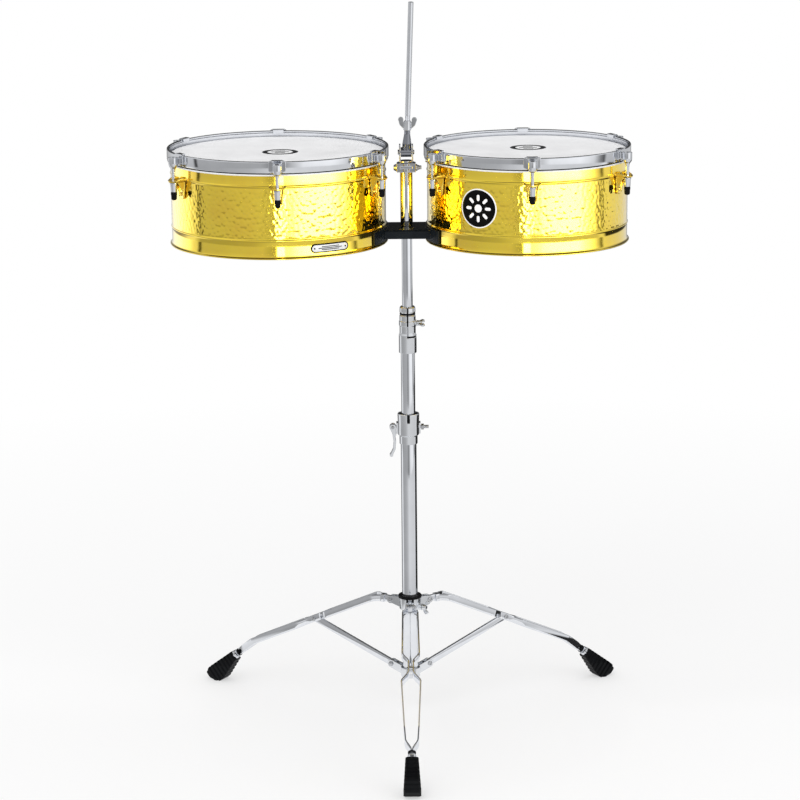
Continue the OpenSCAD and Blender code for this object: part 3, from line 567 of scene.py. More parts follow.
def build_surround():
    """Panels and floor all round, each azimuth with its own brightness, and lamps that only brass sees."""
    wall = np.interp(AZIMUTHS, *zip(*WALL_GLOW))
    ground = np.interp(AZIMUTHS, *zip(*FLOOR_GLOW))
    lamps = np.interp(AZIMUTHS, *zip(*BRASS_GLOW))
    behind = np.interp(np.abs(AZIMUTHS), [100, 140], [1.0, 0.1])
    glowing_ring("surround", [(radius, z, wall * a * (behind if z > 1 else 1.0) + ground * b + plain * behind)
                              for radius, z, a, b, plain in SURROUND_ROWS])
    ring = glowing_ring("brass_lamps", [(r, z, lamps * a) for r, z, a in BRASS_ROWS], clear=True)
    ring.light_linking.receiver_collection = BRASS_PIECES


# Half the floor's side, in metres
FLOOR = 60


def build_floor():
    """A pale floor that glows more further out, so that it meets the background without a line."""
    mesh = bpy.data.meshes.new("floor")
    mesh.from_pydata([(x, y, 0) for x, y in rect(-FLOOR, -FLOOR, FLOOR, FLOOR)], [], [(0, 1, 2, 3)])
    n = Nodes("pale_floor")
    n.set(Base_Color=(0.86, 0.86, 0.865, 1), Roughness=0.7)
    mesh.materials.append(n.material)
    floor = link_new("floor", mesh)
    floor.location.z = -0.0002
    glow = n.add("ShaderNodeEmission", Strength=1.0)
    reach = n.add("ShaderNodeVectorMath")
    reach.operation = "LENGTH"
    n.link(n.add("ShaderNodeNewGeometry").outputs["Position"], reach.inputs[0])
    mix = n.add("ShaderNodeMixShader", Fac=n.span(reach.outputs["Value"], 0.3, 2.6, 0.45, 1.0))
    n.link(n.shader.outputs[0], mix.inputs[1])
    n.link(glow.outputs[0], mix.inputs[2])
    n.link(mix.outputs[0], n.out.inputs[0])


def area_light(name, where, size, power):
    """A square soft light, aimed at the middle of the object."""
    data = bpy.data.lights.new(name, "AREA")
    data.shape = "RECTANGLE"
    data.size = data.size_y = size
    data.energy = power
    light = link_new(name, data)
    light.location = where
    light.rotation_euler = (Vector((0, 0, 0.8)) - Vector(where)).to_track_quat("-Z", "Y").to_euler()
    light.visible_camera = light.visible_glossy = False


def build_stage():
    world = bpy.data.worlds.new("studio")
    world.use_nodes = True
    background = world.node_tree.nodes["Background"]
    background.inputs[0].default_value = (1, 1, 1, 1)
    background.inputs[1].default_value = 1.0
    bpy.context.scene.world = world
    bpy.context.scene.view_settings.view_transform = "Standard"
    build_floor()
    area_light("key", (-1.6, -3.0, 3.4), 2.4, 32)
    area_light("fill", (2.8, -2.2, 2.2), 2.0, 14)
    build_surround()


# ------ drums

# Below the rim: the head, the hoop's lower edge and the middles of the two beads; and the shell's thickness
HEAD_DROP = 10.5
HOOP_H = 20.6
TOP_BEAD = 44.5
LOW_BEAD = 138.9
WALL = 1.5
# The hammered band's edges from the beads, and the spacing of its marks
BAND_GAP = 3.2
PITCH = 8.6


def hammer_depth(radius, seed):
    """A function of (angle, height) giving the depth of hammer marks on the band between the beads."""
    rng = np.random.default_rng(seed)
    low, high = -LOW_BEAD + 3.4, -TOP_BEAD - 3.4
    around = int(2 * math.pi * radius / PITCH)
    length = around * PITCH
    marks = []
    for row in range(int((high - low) / (PITCH * 0.87)) + 2):
        for k in range(around):
            s = (k + 0.5 * (row % 2) + rng.uniform(-0.36, 0.36)) * PITCH
            z = low + (row + rng.uniform(-0.36, 0.36)) * PITCH * 0.87
            marks.append((s % length, z, rng.uniform(0.0, 0.05)))
    marks = np.vstack([np.array(marks) + [shift, 0, 0] for shift in (-length, 0, length)])
    marks = marks[(marks[:, 0] > -30) & (marks[:, 0] < length + 30)]
    marks = marks[np.argsort(marks[:, 0])]

    def depth(angles, z):
        s = (angles / (2 * math.pi) % 1.0) * length
        starts, ends = (np.searchsorted(marks[:, 0], s + reach) for reach in (-12, 12))
        best = np.empty(len(s))
        for i in range(len(s)):
            near = marks[starts[i]:ends[i]]
            best[i] = np.min(((near[:, 0] - s[i]) ** 2 + (near[:, 1] - z[i]) ** 2) / 130.0 + near[:, 2])
        fade = np.clip((z - low) / 2.0, 0, 1) * np.clip((high - z) / 2.0, 0, 1)
        return (0.34 - np.minimum(1.5 * best, 0.5)) * fade

    return depth


def shell_profile(r):
    """Outline of the wall as (radius, height): down the outside, round the lip and up the inside."""
    def bead(z, inner=0.0, rise=1.35, half=3.0, steps=8):
        spots = [-1 + 2 * k / steps for k in range(steps + 1)]
        return [(r - inner + rise * (0.5 + 0.5 * math.cos(math.pi * t)), z - half * t) for t in spots]

    def straight(x, start, end, steps):
        return [(x, start + (end - start) * k / steps) for k in range(steps + 1)]

    w = WALL
    band_top, band_low = -TOP_BEAD - BAND_GAP, -LOW_BEAD + BAND_GAP
    return [
        (r - 3.2, -11.2), (r - 1.6, -11.6), (r - 0.5, -12.8), (r, -14.6), (r, -24), (r, -33),
        *bead(-TOP_BEAD), *straight(r, band_top, band_low, 52), *bead(-LOW_BEAD),
        (r, -150.0), (r, -160.0), (r, -165.6), (r + 0.5, -167.4), (r + 1.9, -168.5), (r + 3.0, -168.9),
        *arc(r + 2.6, -169.95, 1.05, 60, -120, 6),
        (r + 0.8, -169.6), (r - 0.9, -168.0), (r - w, -165.6), (r - w, -155.0),
        *bead(-LOW_BEAD, w, 1.2)[::-1], *straight(r - w, band_low, band_top, 30),
        *bead(-TOP_BEAD, w, 1.2)[::-1],
        (r - w, -33), (r - w, -20), (r - w, -15.4), (r - 2.4, -13.0), (r - 4.2, -12.4), (r - 4.6, -11.7),
        (r - 4.2, -11.2),
    ]


def hammered_shell(drum, seed):
    points, faces = lathe(shell_profile(drum["r"]), 760)
    angle = np.arctan2(points[:, 1], points[:, 0])
    radial = np.hypot(points[:, 0], points[:, 1])
    band = (points[:, 2] > -LOW_BEAD + BAND_GAP) & (points[:, 2] < -TOP_BEAD - BAND_GAP)
    depth = np.zeros(len(points))
    depth[band] = hammer_depth(drum["r"], seed)(angle[band], points[band, 2])
    scale = (radial + depth) / radial
    points[:, :2] *= scale[:, None]
    points += [drum["x"], 0, drum["rim"]]
    side = drum["side"]
    piece(side + "_shell_hammered", (points, faces), "drums", "hammered_brass",
          replaces=[side + "_shell"], sharp=60)


def drum_ring(name, drum, profile, slot, replaces=(), sharp=40):
    shape = moved(lathe(profile, 256), at(drum["x"], 0, drum["rim"]))
    return piece(name, shape, "drums", slot, None, replaces, sharp)


def build_head(drum):
    r, top, edge, side = drum["r"], -HEAD_DROP, -HOOP_H - 1.5, drum["side"]
    film = 0.4
    profile = [
        (0.0, top + 0.25), (r * 0.3, top + 0.24), (r * 0.6, top + 0.2), (r * 0.85, top + 0.1), (r - 8, top),
        (r - 3.2, top), (r - 1.2, top - 0.5), (r + 0.2, top - 1.7), (r + 0.8, top - 3.6), (r + 0.8, edge),
        (r + 0.35, edge), (r + 0.35, top - 3.8), (r - 0.2, top - 2.2), (r - 1.5, top - 1.0),
        (r - 3.2, top - film), (r - 8, top - film), (0.0, top - film + 0.2),
    ]
    drum_ring(side + "_head_film", drum, profile, "drum_head", [side + "_head"], 60)


def build_head_mark(drum, x, y):
    """A plain printed mark: a thick ring and three short bars."""
    thick = 0.06
    shapes = [lathe(rect(22.5, 0, 32.0, thick), 96)]
    for length, offset in ((18, -11.5), (32, 0), (18, 11.5)):
        bar = rect(-length / 2, offset - 3, length / 2, offset + 3)
        shapes.append(prism(fillet(bar, 2.0), 0, thick))
    shape = moved(merge(*shapes), at(x, y, drum["rim"] - HEAD_DROP + 0.25))
    piece(drum["side"] + "_head_mark", shape, "drums", "drum_head", INK, sharp=30)


def build_hoops(drum):
    """The flesh hoop, a black ring above it that stands in for the shadow under the counterhoop (painted shade),
    and the rolled counterhoop.
    """
    r, low, side = drum["r"], -HOOP_H, drum["side"]
    bright = fillet(rect(r + 0.9, low - 4.9, r + 4.9, low - 1.2), [0.8, 1.7, 1.2, 0.5], 4)
    drum_ring(side + "_flesh_ring", drum, bright, "flesh_hoop", [side + "_flesh_hoop"])
    # Painted shadow: a thin black ring between the counterhoop's foot and the flesh hoop, where the real drum has
    # only the dark shadow of the gap
    shadow_ring = [(r + 1.2, low - 1.5), (r + 5.2, low - 1.4), (r + 5.3, low + 0.1), (r + 1.2, low + 0.1)]
    drum_ring(side + "_hoop_painted_shadow", drum, fillet(shadow_ring, 0.3, 3), "black_nylon")
    outer, t = r + HOOP_PROUD, 2.2
    foot = fillet([(r + 1.2, low + 2.1), (r + 1.2, low), (outer, low), (outer, -3.2)], [0.9, 0.9, 1.4, 0], 4)
    roll = arc(outer - 2.2, -2.2, 2.2, 0, 180, 12)
    inner = [(outer - 4.3, -3.0), (outer - 3.6, -4.1), (outer - t - 0.2, -4.9), (outer - t, -6.4),
             (outer - t, low + 3.2), (outer - t - 1.0, low + 2.2)]
    drum_ring(side + "_counterhoop", drum, foot + roll + inner, "chrome", [side + "_hoop"])


LUGS = 6


def lug_frames(drum):
    """Where each lug stands: +X points outwards, z = 0 at the rim and x = 0 on the shell."""
    return [
        at(drum["x"], 0, drum["rim"]) @ turn(-90 + drum["turn"] + k * 360 / LUGS) @ at(drum["r"], 0, 0)
        for k in range(LUGS)
    ]


# From the shell to the middle of a tension rod
LUG_REACH = 18.5


def claw(radius):
    """Hook plate over the hoop with rounded ears, and an open cup round the head of the rod."""
    inner, t = HOOP_PROUD + 0.15, 2.2
    half = 15.0

    def bent(outline, x0, x1, bevel):
        """A plate drawn as (along the rim, height), bent to the hoop's curve."""
        points, faces = prism(dense(outline), x0, x1, bevel)
        a = points[:, 0] / (radius + inner)
        reach = radius + points[:, 2]
        return np.column_stack([reach * np.cos(a) - radius, reach * np.sin(a), points[:, 1]]), faces

    def dense(outline, step=2.0):
        out = []
        for i, j in pairs(len(outline)):
            p, q = outline[i], outline[j]
            n = max(1, int(math.dist(p, q) / step))
            out += [(p[0] + (q[0] - p[0]) * k / n, p[1] + (q[1] - p[1]) * k / n) for k in range(n)]
        return out

    face = [(-half, -16.5), (-9, -19.5), (9, -19.5), (half, -16.5), (half, 0.5), (10, 2.3), (-10, 2.3),
            (-half, 0.5)]
    plate = bent(fillet(face, [3, 2, 2, 3, 3, 1, 1, 3], 4), inner, inner + t, 0.7)
    over = bent(fillet(rect(-10, 0.2, 10, 2.3), 0.5), -0.3, inner + 0.8, 0.4)
    tip = bent(fillet(rect(-10, -4.6, 10, 1.6), 0.6), -0.4, 1.3, 0.4)
    cup = lathe([(0, -9.5), (5.6, -9.0), (6.4, -7.5), (6.6, -4.2), (7.1, -3.2), (7.9, -3.2), (8.3, -4.0),
                 (8.3, -14.0), (8.0, -17.0), (6.6, -20.0), (4.6, -22.4), (3.7, -24.8), (3.4, -28.0),
                 (0, -28.0)], 40)
    web = side_prism(fillet(rect(inner + 0.4, -16, LUG_REACH - 5, -4.4), 1.0), -5.6, 5.6, 1.2)
    return merge(plate, over, tip, moved(cup, at(LUG_REACH, 0, 0)), web)


def threaded_rod(radius, pitch, top, bottom):
    """A rod with a real thread: one groove ring for each turn."""
    profile = [(0, bottom), (radius - 0.5, bottom), (radius - 0.1, bottom + 0.6)]
    for k in range(int((top - bottom - 1) / pitch)):
        z = bottom + 1 + k * pitch
        profile += [(radius - 0.42, z), (radius, z + 0.35 * pitch), (radius, z + 0.6 * pitch)]
    return lathe(profile + [(radius - 0.2, top), (0, top)], 20)


def lug_bracket():
    """Folded plate: pad on the shell, tapered cheeks, and a shelf with curled edges."""
    half, pad_half, shelf_z, t = 13.2, 8.5, -44.5, 2.4
    path = [(-half, 4.6), (-half + 0.6, 1.8), (-half + 2.6, 0.2), (-6, 0), (0, 0), (6, 0), (half - 2.6, 0.2),
            (half - 0.6, 1.8), (half, 4.6)]
    inner = []
    for i, p in enumerate(path):
        d = (Vector(path[min(i + 1, len(path) - 1)]) - Vector(path[max(i - 1, 0)])).normalized()
        inner.append(tuple(Vector(p) - Vector((-d.y, d.x)) * t))
    outline = path + inner[::-1]
    near, end, steps = 1.6, 28.0, 14
    rings = []
    for k in range(steps + 1):
        x = near + (end - near) * (k / steps)
        narrow = 1.0 if x < end - half else math.sqrt(max(0.0, 1 - ((x - end + half) / half) ** 2))
        lift = 1.0 if x < 15 else max(0.0, 1 - (x - 15) / 9.0)
        rings.append([(x, y * max(narrow, 0.05), shelf_z + (z * lift if z > 0 else z)) for y, z in outline])
    top, low = shelf_z - 1, shelf_z - 30
    cheek = fillet([(1.2, top), (16.5, top - 0.2), (14.5, top - 4), (5.5, low + 10), (4.6, low), (1.2, low)],
                   [0.4, 1.5, 3, 6, 2, 0.4], 4)
    cheeks = []
    for s in (-1, 1):
        points, faces = side_prism(cheek, -1.1, 1.1, 0.5)
        lean = np.clip((points[:, 2] - (shelf_z - 14)) / 14, 0, 1)
        points[:, 1] += s * (pad_half - 1.1 + lean * (half - pad_half - 1.6))
        cheeks.append((points, faces))
    right = [(4, low - 3.4), (pad_half, low), (pad_half, shelf_z - 12), (half - 1, shelf_z - 0.5)]
    left = [(-y, z) for y, z in right[::-1]]
    points, faces = prism(fillet(left + right, [1, 6, 3, 3, 3, 3, 6, 1], 4), 1.4, 3.8, 0.6)
    pad = (np.column_stack([points[:, 2], points[:, 0], points[:, 1]]), faces)
    return merge(loft(rings), pad, *cheeks)


def domed_bolt(head_r, shank_r, length):
    """Domed head with a driver recess at z = 0 and above, its shank below."""
    return lathe([(0, -length), (shank_r - 0.3, -length), (shank_r, -length + 0.4), (shank_r, -0.1),
                  (head_r - 0.2, -0.1), (head_r, 0.25), (head_r - 0.3, 1.1), (head_r * 0.72, 1.75),
                  (head_r * 0.5, 1.95), (head_r * 0.36, 1.0), (0, 0.9)], 28)


def hexagon(radius, height):
    return prism(arc(0, 0, radius, 0, 300, 5), 0, height, 0.5)


def build_lugs(drum):
    side, out = drum["side"], at(LUG_REACH, 0, 0)
    hook = merge(claw(drum["r"]), moved(threaded_rod(3.3, 1.0, -27.0, -74.0), out))
    castings = (("hook", softened(mesh_of(hook), 0.34, 1, 0.4), "chrome", "tension_hooks"),
                ("lug", softened(mesh_of(lug_bracket()), 0.42, 2, 0.5), "gold_plate", side + "_lug_brackets"))
    nut = lathe([(3.3, -64), (5.0, -64.0), (5.4, -63.6), (5.55, -62.6), (6.25, -51.5), (6.35, -50.2),
                 (6.9, -49.8), (7.0, -49.0), (6.9, -47.9), (6.3, -47.6), (3.3, -47.6)], 40)
    cap = lathe([(0, -78.6), (2.6, -78.4), (4.2, -77.4), (5.0, -75.8), (5.15, -69.4), (5.5, -68.6),
                 (5.6, -67.4), (5.5, -64.6), (5.1, -64.15), (0, -64.15)], 32)
    turned = (("nut", moved(nut, out), "chrome", "tuning_nuts"),
              ("cap", moved(cap, out), "black_rubber", "nut_caps"))
    for k, where in enumerate(lug_frames(drum)):
        label = f"{side}_{k + 1}"
        in_metres = Matrix.Translation(where.to_translation() * MM) @ where.to_3x3().to_4x4()
        for name, mesh, slot, node in castings:
            copy = mesh.copy()
            copy.transform(in_metres)
            place(f"{name}_{label}", copy, "drums", slot, None, (node,))
        for name, shape, slot, node in turned:
            piece(f"{name}_{label}", moved(shape, where), "drums", slot, None, (node,))
        bolt = merge(domed_bolt(3.4, 1.9, 7), moved(hexagon(3.6, 2.4), at(0, 0, -8.2)))
        bolts = [moved(bolt, where @ at(3.9, 0, -drop) @ turn(90, "Y")) for drop in (56, 69)]
        piece(f"lug_bolts_{label}", merge(*bolts), "drums", "gold_plate", None, ("lug_bolts",))


def on_shell(shape, drum, azimuth, drop):
    """Bends a shape drawn as (along the rim, up, outwards) round a shell; azimuth counts from the front."""
    points, faces = shape
    a = math.radians(-90 + azimuth) + points[:, 0] / drum["r"]
    reach = drum["r"] + points[:, 2]
    bent = np.column_stack([drum["x"] + reach * np.cos(a), reach * np.sin(a),
                            drum["rim"] - drop + points[:, 1]])
    return bent, faces


def pill(length, height, low, high, bevel=0.3, columns=48):
    """A plate with round ends, cut into columns so that it can be bent."""
    r = height / 2
    rings = []
    for k in range(columns + 1):
        x = -length / 2 * math.cos(math.pi * k / columns)
        past = max(0.0, abs(x) - (length / 2 - r))
        h = max(0.02, math.sqrt(max(0.0, r * r - past * past)))
        b = min(bevel, h * 0.5)
        section = ((-h, low), (h, low), (h, high - b), (h - b, high), (b - h, high), (-h, high - b))
        rings.append([(x, y, z) for y, z in section])
    return loft(rings)


def disc(inner, outer, low, high, rings=8, segments=96, bevel=0.25):
    """A flat ring or disc with a softened top edge, cut into rings so that it can be bent."""
    radii = [inner + (outer - bevel - inner) * k / rings for k in range(rings + 1)]
    under = [(r, low) for r in radii[::-1]] if inner > 0 else [(outer - bevel, low), (0, low)]
    return lathe(under + [(r, high) for r in radii] + [(outer, high - bevel), (outer, low)], segments)


def build_badge(drum):
    """A black disc with a white rim and a plain sun-like mark."""
    azimuth, drop, r = -30.8, 91.0, 34.5
    ink_low, ink_high = 1.1, 1.3
    face = on_shell(disc(0, r - 1.6, 0.05, ink_low, 10), drum, azimuth, drop)
    refined("badge_face", face, "badge", 50)
    rays = [moved(pill(11.0, 5.4, ink_low, ink_high, 0.1, 12), turn(45 * k) @ at(18.5, 0, 0))
            for k in range(8)]
    for name, shape in (("badge_rim", disc(r - 2.0, r, 0.05, 1.5, 2, bevel=0.4)),
                        ("badge_mark", merge(disc(0, 7.0, ink_low, ink_high, 4, 48, 0.1), *rays))):
        white = MATERIALS["drum_head"]
        piece(name, on_shell(shape, drum, azimuth, drop), "drums", "badge_enamel", white, sharp=50)


def build_nameplate(drum):
    """A plain plate with a dark border, three bars in place of lettering and two pins."""
    def fixed(shape):
        return on_shell(shape, drum, 29.8, 154.4)

    refined("nameplate_border", fixed(pill(74, 16, 0.05, 0.9)), "nameplate", 50, MATERIALS["badge_enamel"])
    piece("nameplate_face", fixed(pill(69, 11.6, 0.4, 1.1, 0.15)), "drums", "nameplate_metal", sharp=50)
    marks = [moved(pill(w, 1.5, 1.05, 1.2, 0.05, 24), at(0, y, 0))
             for w, y in ((34, 2.6), (46, 0), (34, -2.6))]
    marks += [moved(disc(0, 1.5, 1.05, 1.5, 3, 24), at(x, 0, 0)) for x in (-30, 30)]
    piece("nameplate_mark", fixed(merge(*marks)), "drums", "nameplate_metal", INK, sharp=50)


# ------ the stand

# A leg's strips: height, thickness, half the gap where they meet, half the grip of the bolt at the knee
STRIP_H = 12.5
STRIP_T = 2.6
PINCH = 1.45
KNEE_GRIP = 5.65
# Distances from the column to a leg's inner bend, its outer bend and its ferrule, and the slope of its foot
BEND_IN, BEND_OUT, FERRULE = 74, 340, 386
FOOT_ANGLE = 38.5
FOOT_COS, FOOT_SIN = math.cos(math.radians(FOOT_ANGLE)), math.sin(math.radians(FOOT_ANGLE))
# Half the distance between a leg's two strips, by distance from the column
LEG_PLAN = [(25, PINCH), (53, PINCH), (76, 13.6), (176, 15.3), (191, 4.35), (219, 4.35), (237, 17.1),
            (340, 12.7), (363, 10.8), (375.5, PINCH), (404, PINCH)]
UPPER_TUBE_R = 9.525


def round_tube(radius, wall, z0, z1, segments=96):
    return lathe(fillet(rect(radius - wall, z0, radius, z1), 0.55, 3), segments)


def build_tubes():
    for node in ("base_tube", "mid_tube", "upper_tube", "bracket_tube"):
        low, high = corners(node)
        r = (high.x - low.x) / 2
        wall = r - UPPER_TUBE_R - 0.1 if node == "bracket_tube" else 1.5
        refined(node + "_polished", round_tube(r, wall, low.z, high.z), node)
    low, high = corners("upper_tube_bushing")
    r = (high.x - low.x) / 2
    refined("upper_bushing", round_tube(r, r - UPPER_TUBE_R, low.z, high.z, 64), "upper_tube_bushing")
    low, high = corners("leg_hub_bushing")
    flange, bore, top = (high.x - low.x) / 2, 14.4, high.z
    profile = [(bore, low.z), (17, low.z), (17, top - 5.6), (flange, top - 5.4), (flange, top), (bore, top)]
    refined("leg_hub_collar", lathe(fillet(profile, [0.4, 0.4, 0, 0.8, 1.4, 0.8], 4), 72), "leg_hub_bushing")


def cross_bolt(grip, head_r):
    """A bolt along Y: domed head towards -Y, hexagon nut and rod end towards +Y."""
    head = moved(domed_bolt(head_r, 3.0, 2 * grip), at(0, -grip, 0) @ turn(90, "X"))
    tip = lathe([(0, 0), (2.7, 0), (2.7, 3.2), (2.2, 3.7), (0, 3.7)], 24)
    return merge(head, moved(merge(hexagon(4.6, 2.7), tip), at(0, grip, 0) @ turn(-90, "X")))


def strip_section(scale=1.0):
    t, h = STRIP_T / 2, STRIP_H / 2 * scale
    return fillet(rect(-t, -h, t, h), min(0.6, 0.9 * h), 2)


def leg_heights(pivot, knee):
    """Heights of a leg's outer bend and of its ferrule; points are (distance from the column, height)."""
    slope = (pivot[1] - knee[1]) / (knee[0] - BEND_IN)
    bend = pivot[1] - (BEND_OUT - BEND_IN) * slope
    return bend, bend - (FERRULE - BEND_OUT) * math.tan(math.radians(FOOT_ANGLE))


def leg_strip(pivot, knee, side):
    """One bent strip of a leg in the leg's own plane, side -1 or 1."""
    bend_z, foot_z = leg_heights(pivot, knee)
    end = (FERRULE + 20 * FOOT_COS, foot_z - 20 * FOOT_SIN)
    start = pivot[0] - STRIP_H / 2
    profile = fillet([(start, pivot[1]), (BEND_IN, pivot[1]), (BEND_OUT, bend_z), end], [0, 40, 40, 0], 10)
    plan = fillet(LEG_PLAN + [(404, -50), (25, -50)], [0] + [14] * 9 + [0] * 3, 6)[:-2]
    side_r, side_z = zip(*profile)
    plan_r, plan_y = zip(*plan)
    rounding = [start + step for step in (0.05, 0.6, 1.6, 3.2)]
    stops = sorted({round(r, 2) for r in [*side_r, *plan_r, *rounding]})
    stops = [r for r in stops if start + 0.04 <= r <= end[0]]
    path = [(r, side * float(np.interp(r, plan_r, plan_y)), float(np.interp(r, side_r, side_z)))
            for r in stops]

    def section(i):
        back = STRIP_H / 2 - (stops[i] - start)
        return strip_section(math.sqrt(max(0.02, 1 - (back / (STRIP_H / 2)) ** 2)) if back > 0 else 1.0)

    return sweep(path, section)


def brace_strips(pivot, knee):
    run = Vector((knee[0] - pivot[0], knee[1] - pivot[1]))
    h = STRIP_H / 2
    bar = fillet(rect(-h, -h, run.length + h, h), h - 0.05, 8)
    angle = math.degrees(math.atan2(run.y, run.x))
    plates = [side_prism(bar, y - STRIP_T / 2, y + STRIP_T / 2, 0.5) for y in (-PINCH, PINCH)]
    return moved(merge(*plates), at(pivot[0], 0, pivot[1]) @ turn(-angle, "Y"))


def ribbed_foot(z):
    """Rubber wedge in a leg's own plane: core, eight ribs, a grommet above, and a sole flat on the floor."""
    def section(along_axis, grow):
        half = 11.4 + 4.2 * along_axis / 70 + grow
        up = float(np.interp(along_axis, [1, 60, 72, 73], [9.0, 10.4, 8.0, 5.0])) + grow
        under = np.interp(along_axis, [1, 47, 60, 68, 73], [-9.6, -24.4, -24.8, -15.0, -6.0])
        down = float(under) - 0.5 * grow
        corner = min(4.5, half - 1)
        outline = fillet(rect(-half, down, half, up), [1.5, 1.5, corner, corner], 4)
        return [(FERRULE + along_axis * FOOT_COS + across * FOOT_SIN, y,
                 max(0.02, z - along_axis * FOOT_SIN + across * FOOT_COS)) for y, across in outline]

    core = loft([section(a, -1.6) for a in (1.1, 10, 20, 30, 40, 47, 54, 60, 65, 69, 72)])
    ribs = [loft([section(a, 0.0), section(a + 4.6, 0.0)]) for a in [2.2 + 8.4 * k for k in range(8)]]
    grommet = lathe([(0, -13.0), (6.2, -13.0), (7.2, -12.2), (7.2, -9.6), (6.2, -8.8), (0, -8.8)], 32)
    return merge(core, *ribs, moved(grommet, down_leg(z)))


def down_leg(z):
    """Takes shapes drawn about -Z to a leg's ferrule, in the leg's own plane."""
    return at(FERRULE, 0, z) @ turn(90 + FOOT_ANGLE, "Y")


def build_tripod():
    hub_pos, _ = joint("leg_hub_lift")
    pins, hub_pins = [], []
    band = side_prism(fillet(rect(51.5, -7.2, 60.5, 7.2), 1.2), -6.4, 6.4, 1.2, 3)
    cup = lathe([(0, -5.4), (7.5, -5.4), (8.1, -5.0), (8.2, -4.2), (7.7, -3.4), (8.5, 0.3), (8.3, 0.9),
                 (0, 0.9)], 48)
    for leg in ("front", "left", "right"):
        low_pivot, _ = joint(f"brace_{leg}_fold")
        knee_at, _ = joint(f"leg_{leg}_fold")
        plane = turn(math.degrees(math.atan2(knee_at.y, knee_at.x)))
        low = (low_pivot.xy.length, low_pivot.z)
        knee = (knee_at.xy.length, knee_at.z)
        high = (low[0], hub_pos.z)
        foot_z = leg_heights(high, knee)[1]
        refined(f"brace_{leg}_strips", moved(brace_strips(low, knee), plane), f"brace_{leg}", 40)
        strips = merge(leg_strip(high, knee, -1), leg_strip(high, knee, 1), moved(band, at(0, 0, high[1])))
        refined(f"leg_{leg}_strips", moved(strips, plane), f"leg_{leg}_bars", 40)
        bolt = moved(cross_bolt(KNEE_GRIP, 4.6), plane @ at(knee[0], 0, knee[1]))
        refined(f"leg_{leg}_knee", bolt, f"leg_{leg}_bolt")
        refined(f"leg_{leg}_collar", moved(cup, plane @ down_leg(foot_z)), f"leg_{leg}_ferrule")
        cast(f"foot_{leg}_ribbed", moved(ribbed_foot(foot_z), plane), f"foot_{leg}", 0.45, 2)
        pins.append(moved(cross_bolt(6.0, 4.7), plane @ at(low[0], 0, low[1])))
        hub_pins.append(moved(cross_bolt(7.1, 4.7), plane @ at(high[0], 0, high[1])))
    refined("brace_hub_bolts", merge(*pins), "brace_hub_pins")
    refined("leg_hub_bolts", merge(*hub_pins), "leg_hub_pins")
    cast_from_cad("brace_hub")
    cast_from_cad("leg_hub")


def wing_bolt(shank, hub, span):
    """A wing bolt along +Z, its collar starting at z = 0, with two swollen wings in X."""
    body = lathe([(0, -shank), (2.6, -shank), (3.0, -shank + 0.5), (3.0, -0.2), (4.7, -0.2), (5.1, 0.5),
                  (4.9, 2.0), (4.3, hub - 0.6), (3.6, hub), (0, hub)], 32)
    tip = span / 2
    wings = []
    for s in (-1, 1):
        blade = [(1, 0.8), (5.0, 1.6), (tip - 0.5, hub - 2.5), (tip + 0.4, hub + 3.0), (tip - 3.5, hub + 5.2),
                 (tip - 6.5, hub + 1.5), (1, hub - 0.6)]
        blade = fillet([(s * x, z) for x, z in blade], [0.5, 3, 4, 3, 3, 4, 0.5], 4)
        pad = arc(s * (tip - 3.2), hub + 1.2, 3.9, 0, 345, 23)
        wings += [side_prism(blade, -1.4, 1.4, 1.0), side_prism(pad, -2.2, 2.2, 1.6, 3)]
    return merge(body, *wings)


def build_wings():
    for name, shape, back, degrees in (("hub", wing_bolt(12.2, 8, 24), 0.0, 70),
                                       ("mid", wing_bolt(7, 9, 25), 3.0, 12)):
        point, axis = joint(name + "_wing_bolt_turn")
        placed = moved(shape, winged(point - axis * back, axis, degrees))
        cast(name + "_wing", placed, name + "_wing_bolt", 0.4)
    cast_from_cad("rod_wing_nut", 0.4, 4)


def knurled_rod():
    """Smooth shank, diamond knurl made of two crossing sets of grooves and a rounded end, drawn along +Z."""
    low, high = corners("rod")
    radius, around, segments = 4.75, 18, 72
    length = (high.z - low.z) / math.cos(math.radians(2.1))
    shank, pitch = 57.0, 1.66
    knurls = [shank + 0.3 + k * pitch / 4 for k in range(int((length - shank - 1.6) / (pitch / 4)))]
    top = knurls[-1]
    rows = [(0.0, 0.0), (0.0, 3.8), (0.5, 4.35), (shank - 0.6, 4.38), (shank, 4.5),
            *((z, None) for z in knurls), (top + 0.5, 4.45), (top + 1.0, 3.9), (top + 1.2, 2.6),
            (top + 1.25, 0.0)]
    points = []
    for z, r in rows:
        for i in range(segments):
            a = 2 * math.pi * i / segments
            grooves = [abs(math.sin(around * a / 2 + s * math.pi * z / pitch)) for s in (1, -1)]
            reach = radius - 0.32 * (1 - min(grooves) ** 0.7) if r is None else r
            points.append((reach * math.cos(a), reach * math.sin(a), z))
    return np.array(points), grid(len(rows), segments)


def build_post():
    _, lean = joint("rod_slide")
    low, _ = corners("rod")
    nut_at, _ = joint("rod_wing_nut_turn")
    foot = nut_at + lean * ((low.z - nut_at.z) / lean.z)
    refined("rod_knurled", moved(knurled_rod(), along(foot, lean)), "rod", 75)
    cast_from_cad("post_yoke", 0.45)
    cast_from_cad("post_tilter", 0.45, material=DARK_CHROME)
    low, high = corners("yoke_pin")
    z = (low.z + high.z) / 2
    head = moved(domed_bolt(4.4, 2.5, high.x - low.x - 5), at(high.x - 2.2, 0, z) @ turn(90, "Y"))
    nut = moved(hexagon(4.4, 2.3), at(low.x + 2.4, 0, z) @ turn(-90, "Y"))
    refined("yoke_bolt", merge(head, nut), "yoke_pin")


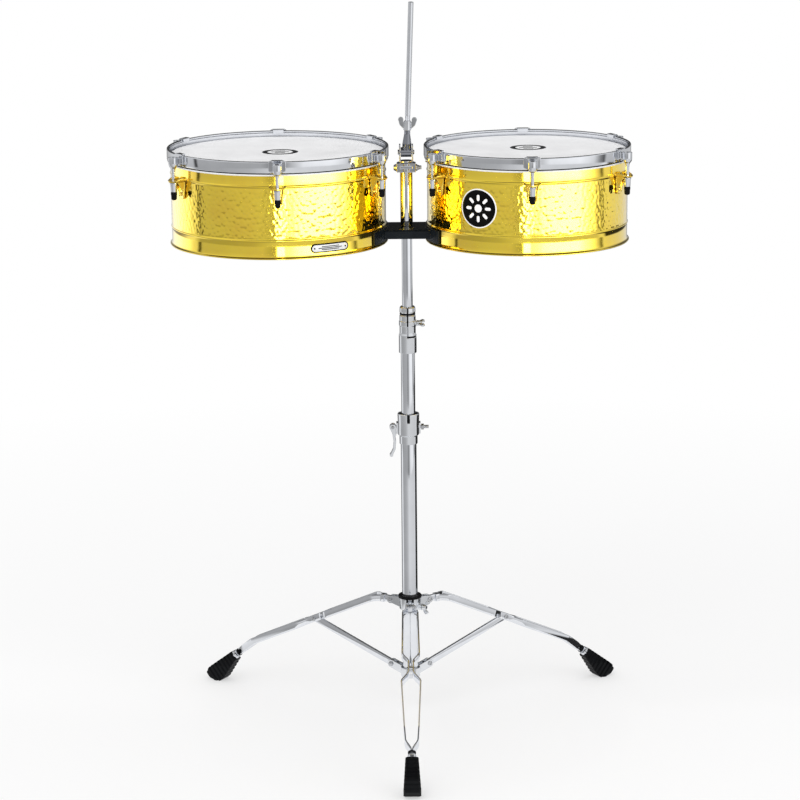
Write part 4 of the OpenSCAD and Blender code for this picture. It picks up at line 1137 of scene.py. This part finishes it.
def build_column():
    for node in ("base_clamp", "base_clamp_bushing", "mid_clamp"):
        cast_from_cad(node)
    foot = corners("mid_clamp")[0].z
    rings = [lathe(rect(12.4, foot + z, r, foot + z + h), 64)
             for z, r, h in ((69.6, 14.1, 3.4), (29.0, 15.0, 2.6))]
    lining = merge(shape_of(cad_mesh("mid_clamp_bushing")), *rings)
    cast("mid_clamp_lining", lining, "mid_clamp_bushing", 0.5)
    cast_from_cad("cam_lever", 0.4, 4)
    cast_from_cad("clamp_bolt", 0.32, 1)
    point, axis = joint("cam_lever_pivot")
    low, high = corners("cam_pin")
    half = (high.y - low.y) / 2
    end = [(0, -half), (2.2, -half + 0.1), (3.1, -half + 0.9), (3.1, -half + 1.5), (2.0, -half + 1.6)]
    rivet = lathe(end + [(r, -z) for r, z in end[::-1]], 32)
    refined("cam_rivet", moved(rivet, along(point, axis)), "cam_pin")


# Height of the screws that hold the shells to the bracket
SCREW_Z = 909.0


def build_bracket():
    cast_from_cad("bracket_plate", 0.7, 3, 0.3)
    cast_from_cad("bracket_collar", 0.45)
    low, high = corners("collar_bolt")
    middle = (low + high) / 2
    washer = lathe([(0, 0), (4.0, 0), (4.2, 0.3), (4.2, 2.6), (3.9, 3.0), (0, 3.0)], 32)
    square = prism(fillet(rect(-2.6, -2.6, 2.6, 2.6), 0.5), 2.9, 7.0, 0.5)
    bolt = moved(merge(washer, moved(square, turn(20))), at(low.x, middle.y, middle.z) @ turn(90, "Y"))
    refined("collar_square_bolt", bolt, "collar_bolt")
    bolts = []
    for drum, facing in zip(DRUMS, (0, 180)):
        for angle in (-18, 18):
            where = at(drum["x"], 0, SCREW_Z) @ turn(facing + angle) @ at(drum["r"], 0, 0) @ turn(90, "Y")
            bolts.append(moved(domed_bolt(5.0, 3.0, 8.0), where @ at(0, 0, 4.0)))
            bolts.append(moved(hexagon(5.0, 2.6), where @ at(0, 0, -4.2)))
    refined("bracket_screws", merge(*bolts), "bracket_bolts")


# ------ the object

def build_drums():
    for seed, drum in enumerate(DRUMS):
        hammered_shell(drum, 11 + seed)
        build_head(drum)
        build_hoops(drum)
        build_lugs(drum)
    build_head_mark(DRUMS[0], -223, -9)
    build_head_mark(DRUMS[1], 217, 17)
    build_nameplate(DRUMS[0])
    build_badge(DRUMS[1])


def dress_cad_nodes():
    """Every CAD node still showing takes its slot's material."""
    for name, node in frame["nodes"].items():
        node.data.materials.clear()
        node.data.materials.append(MATERIALS[SLOT[name]])


build_camera()
build_stage()
dress_cad_nodes()
build_drums()
build_bracket()
build_tubes()
build_column()
build_tripod()
build_wings()
build_post()
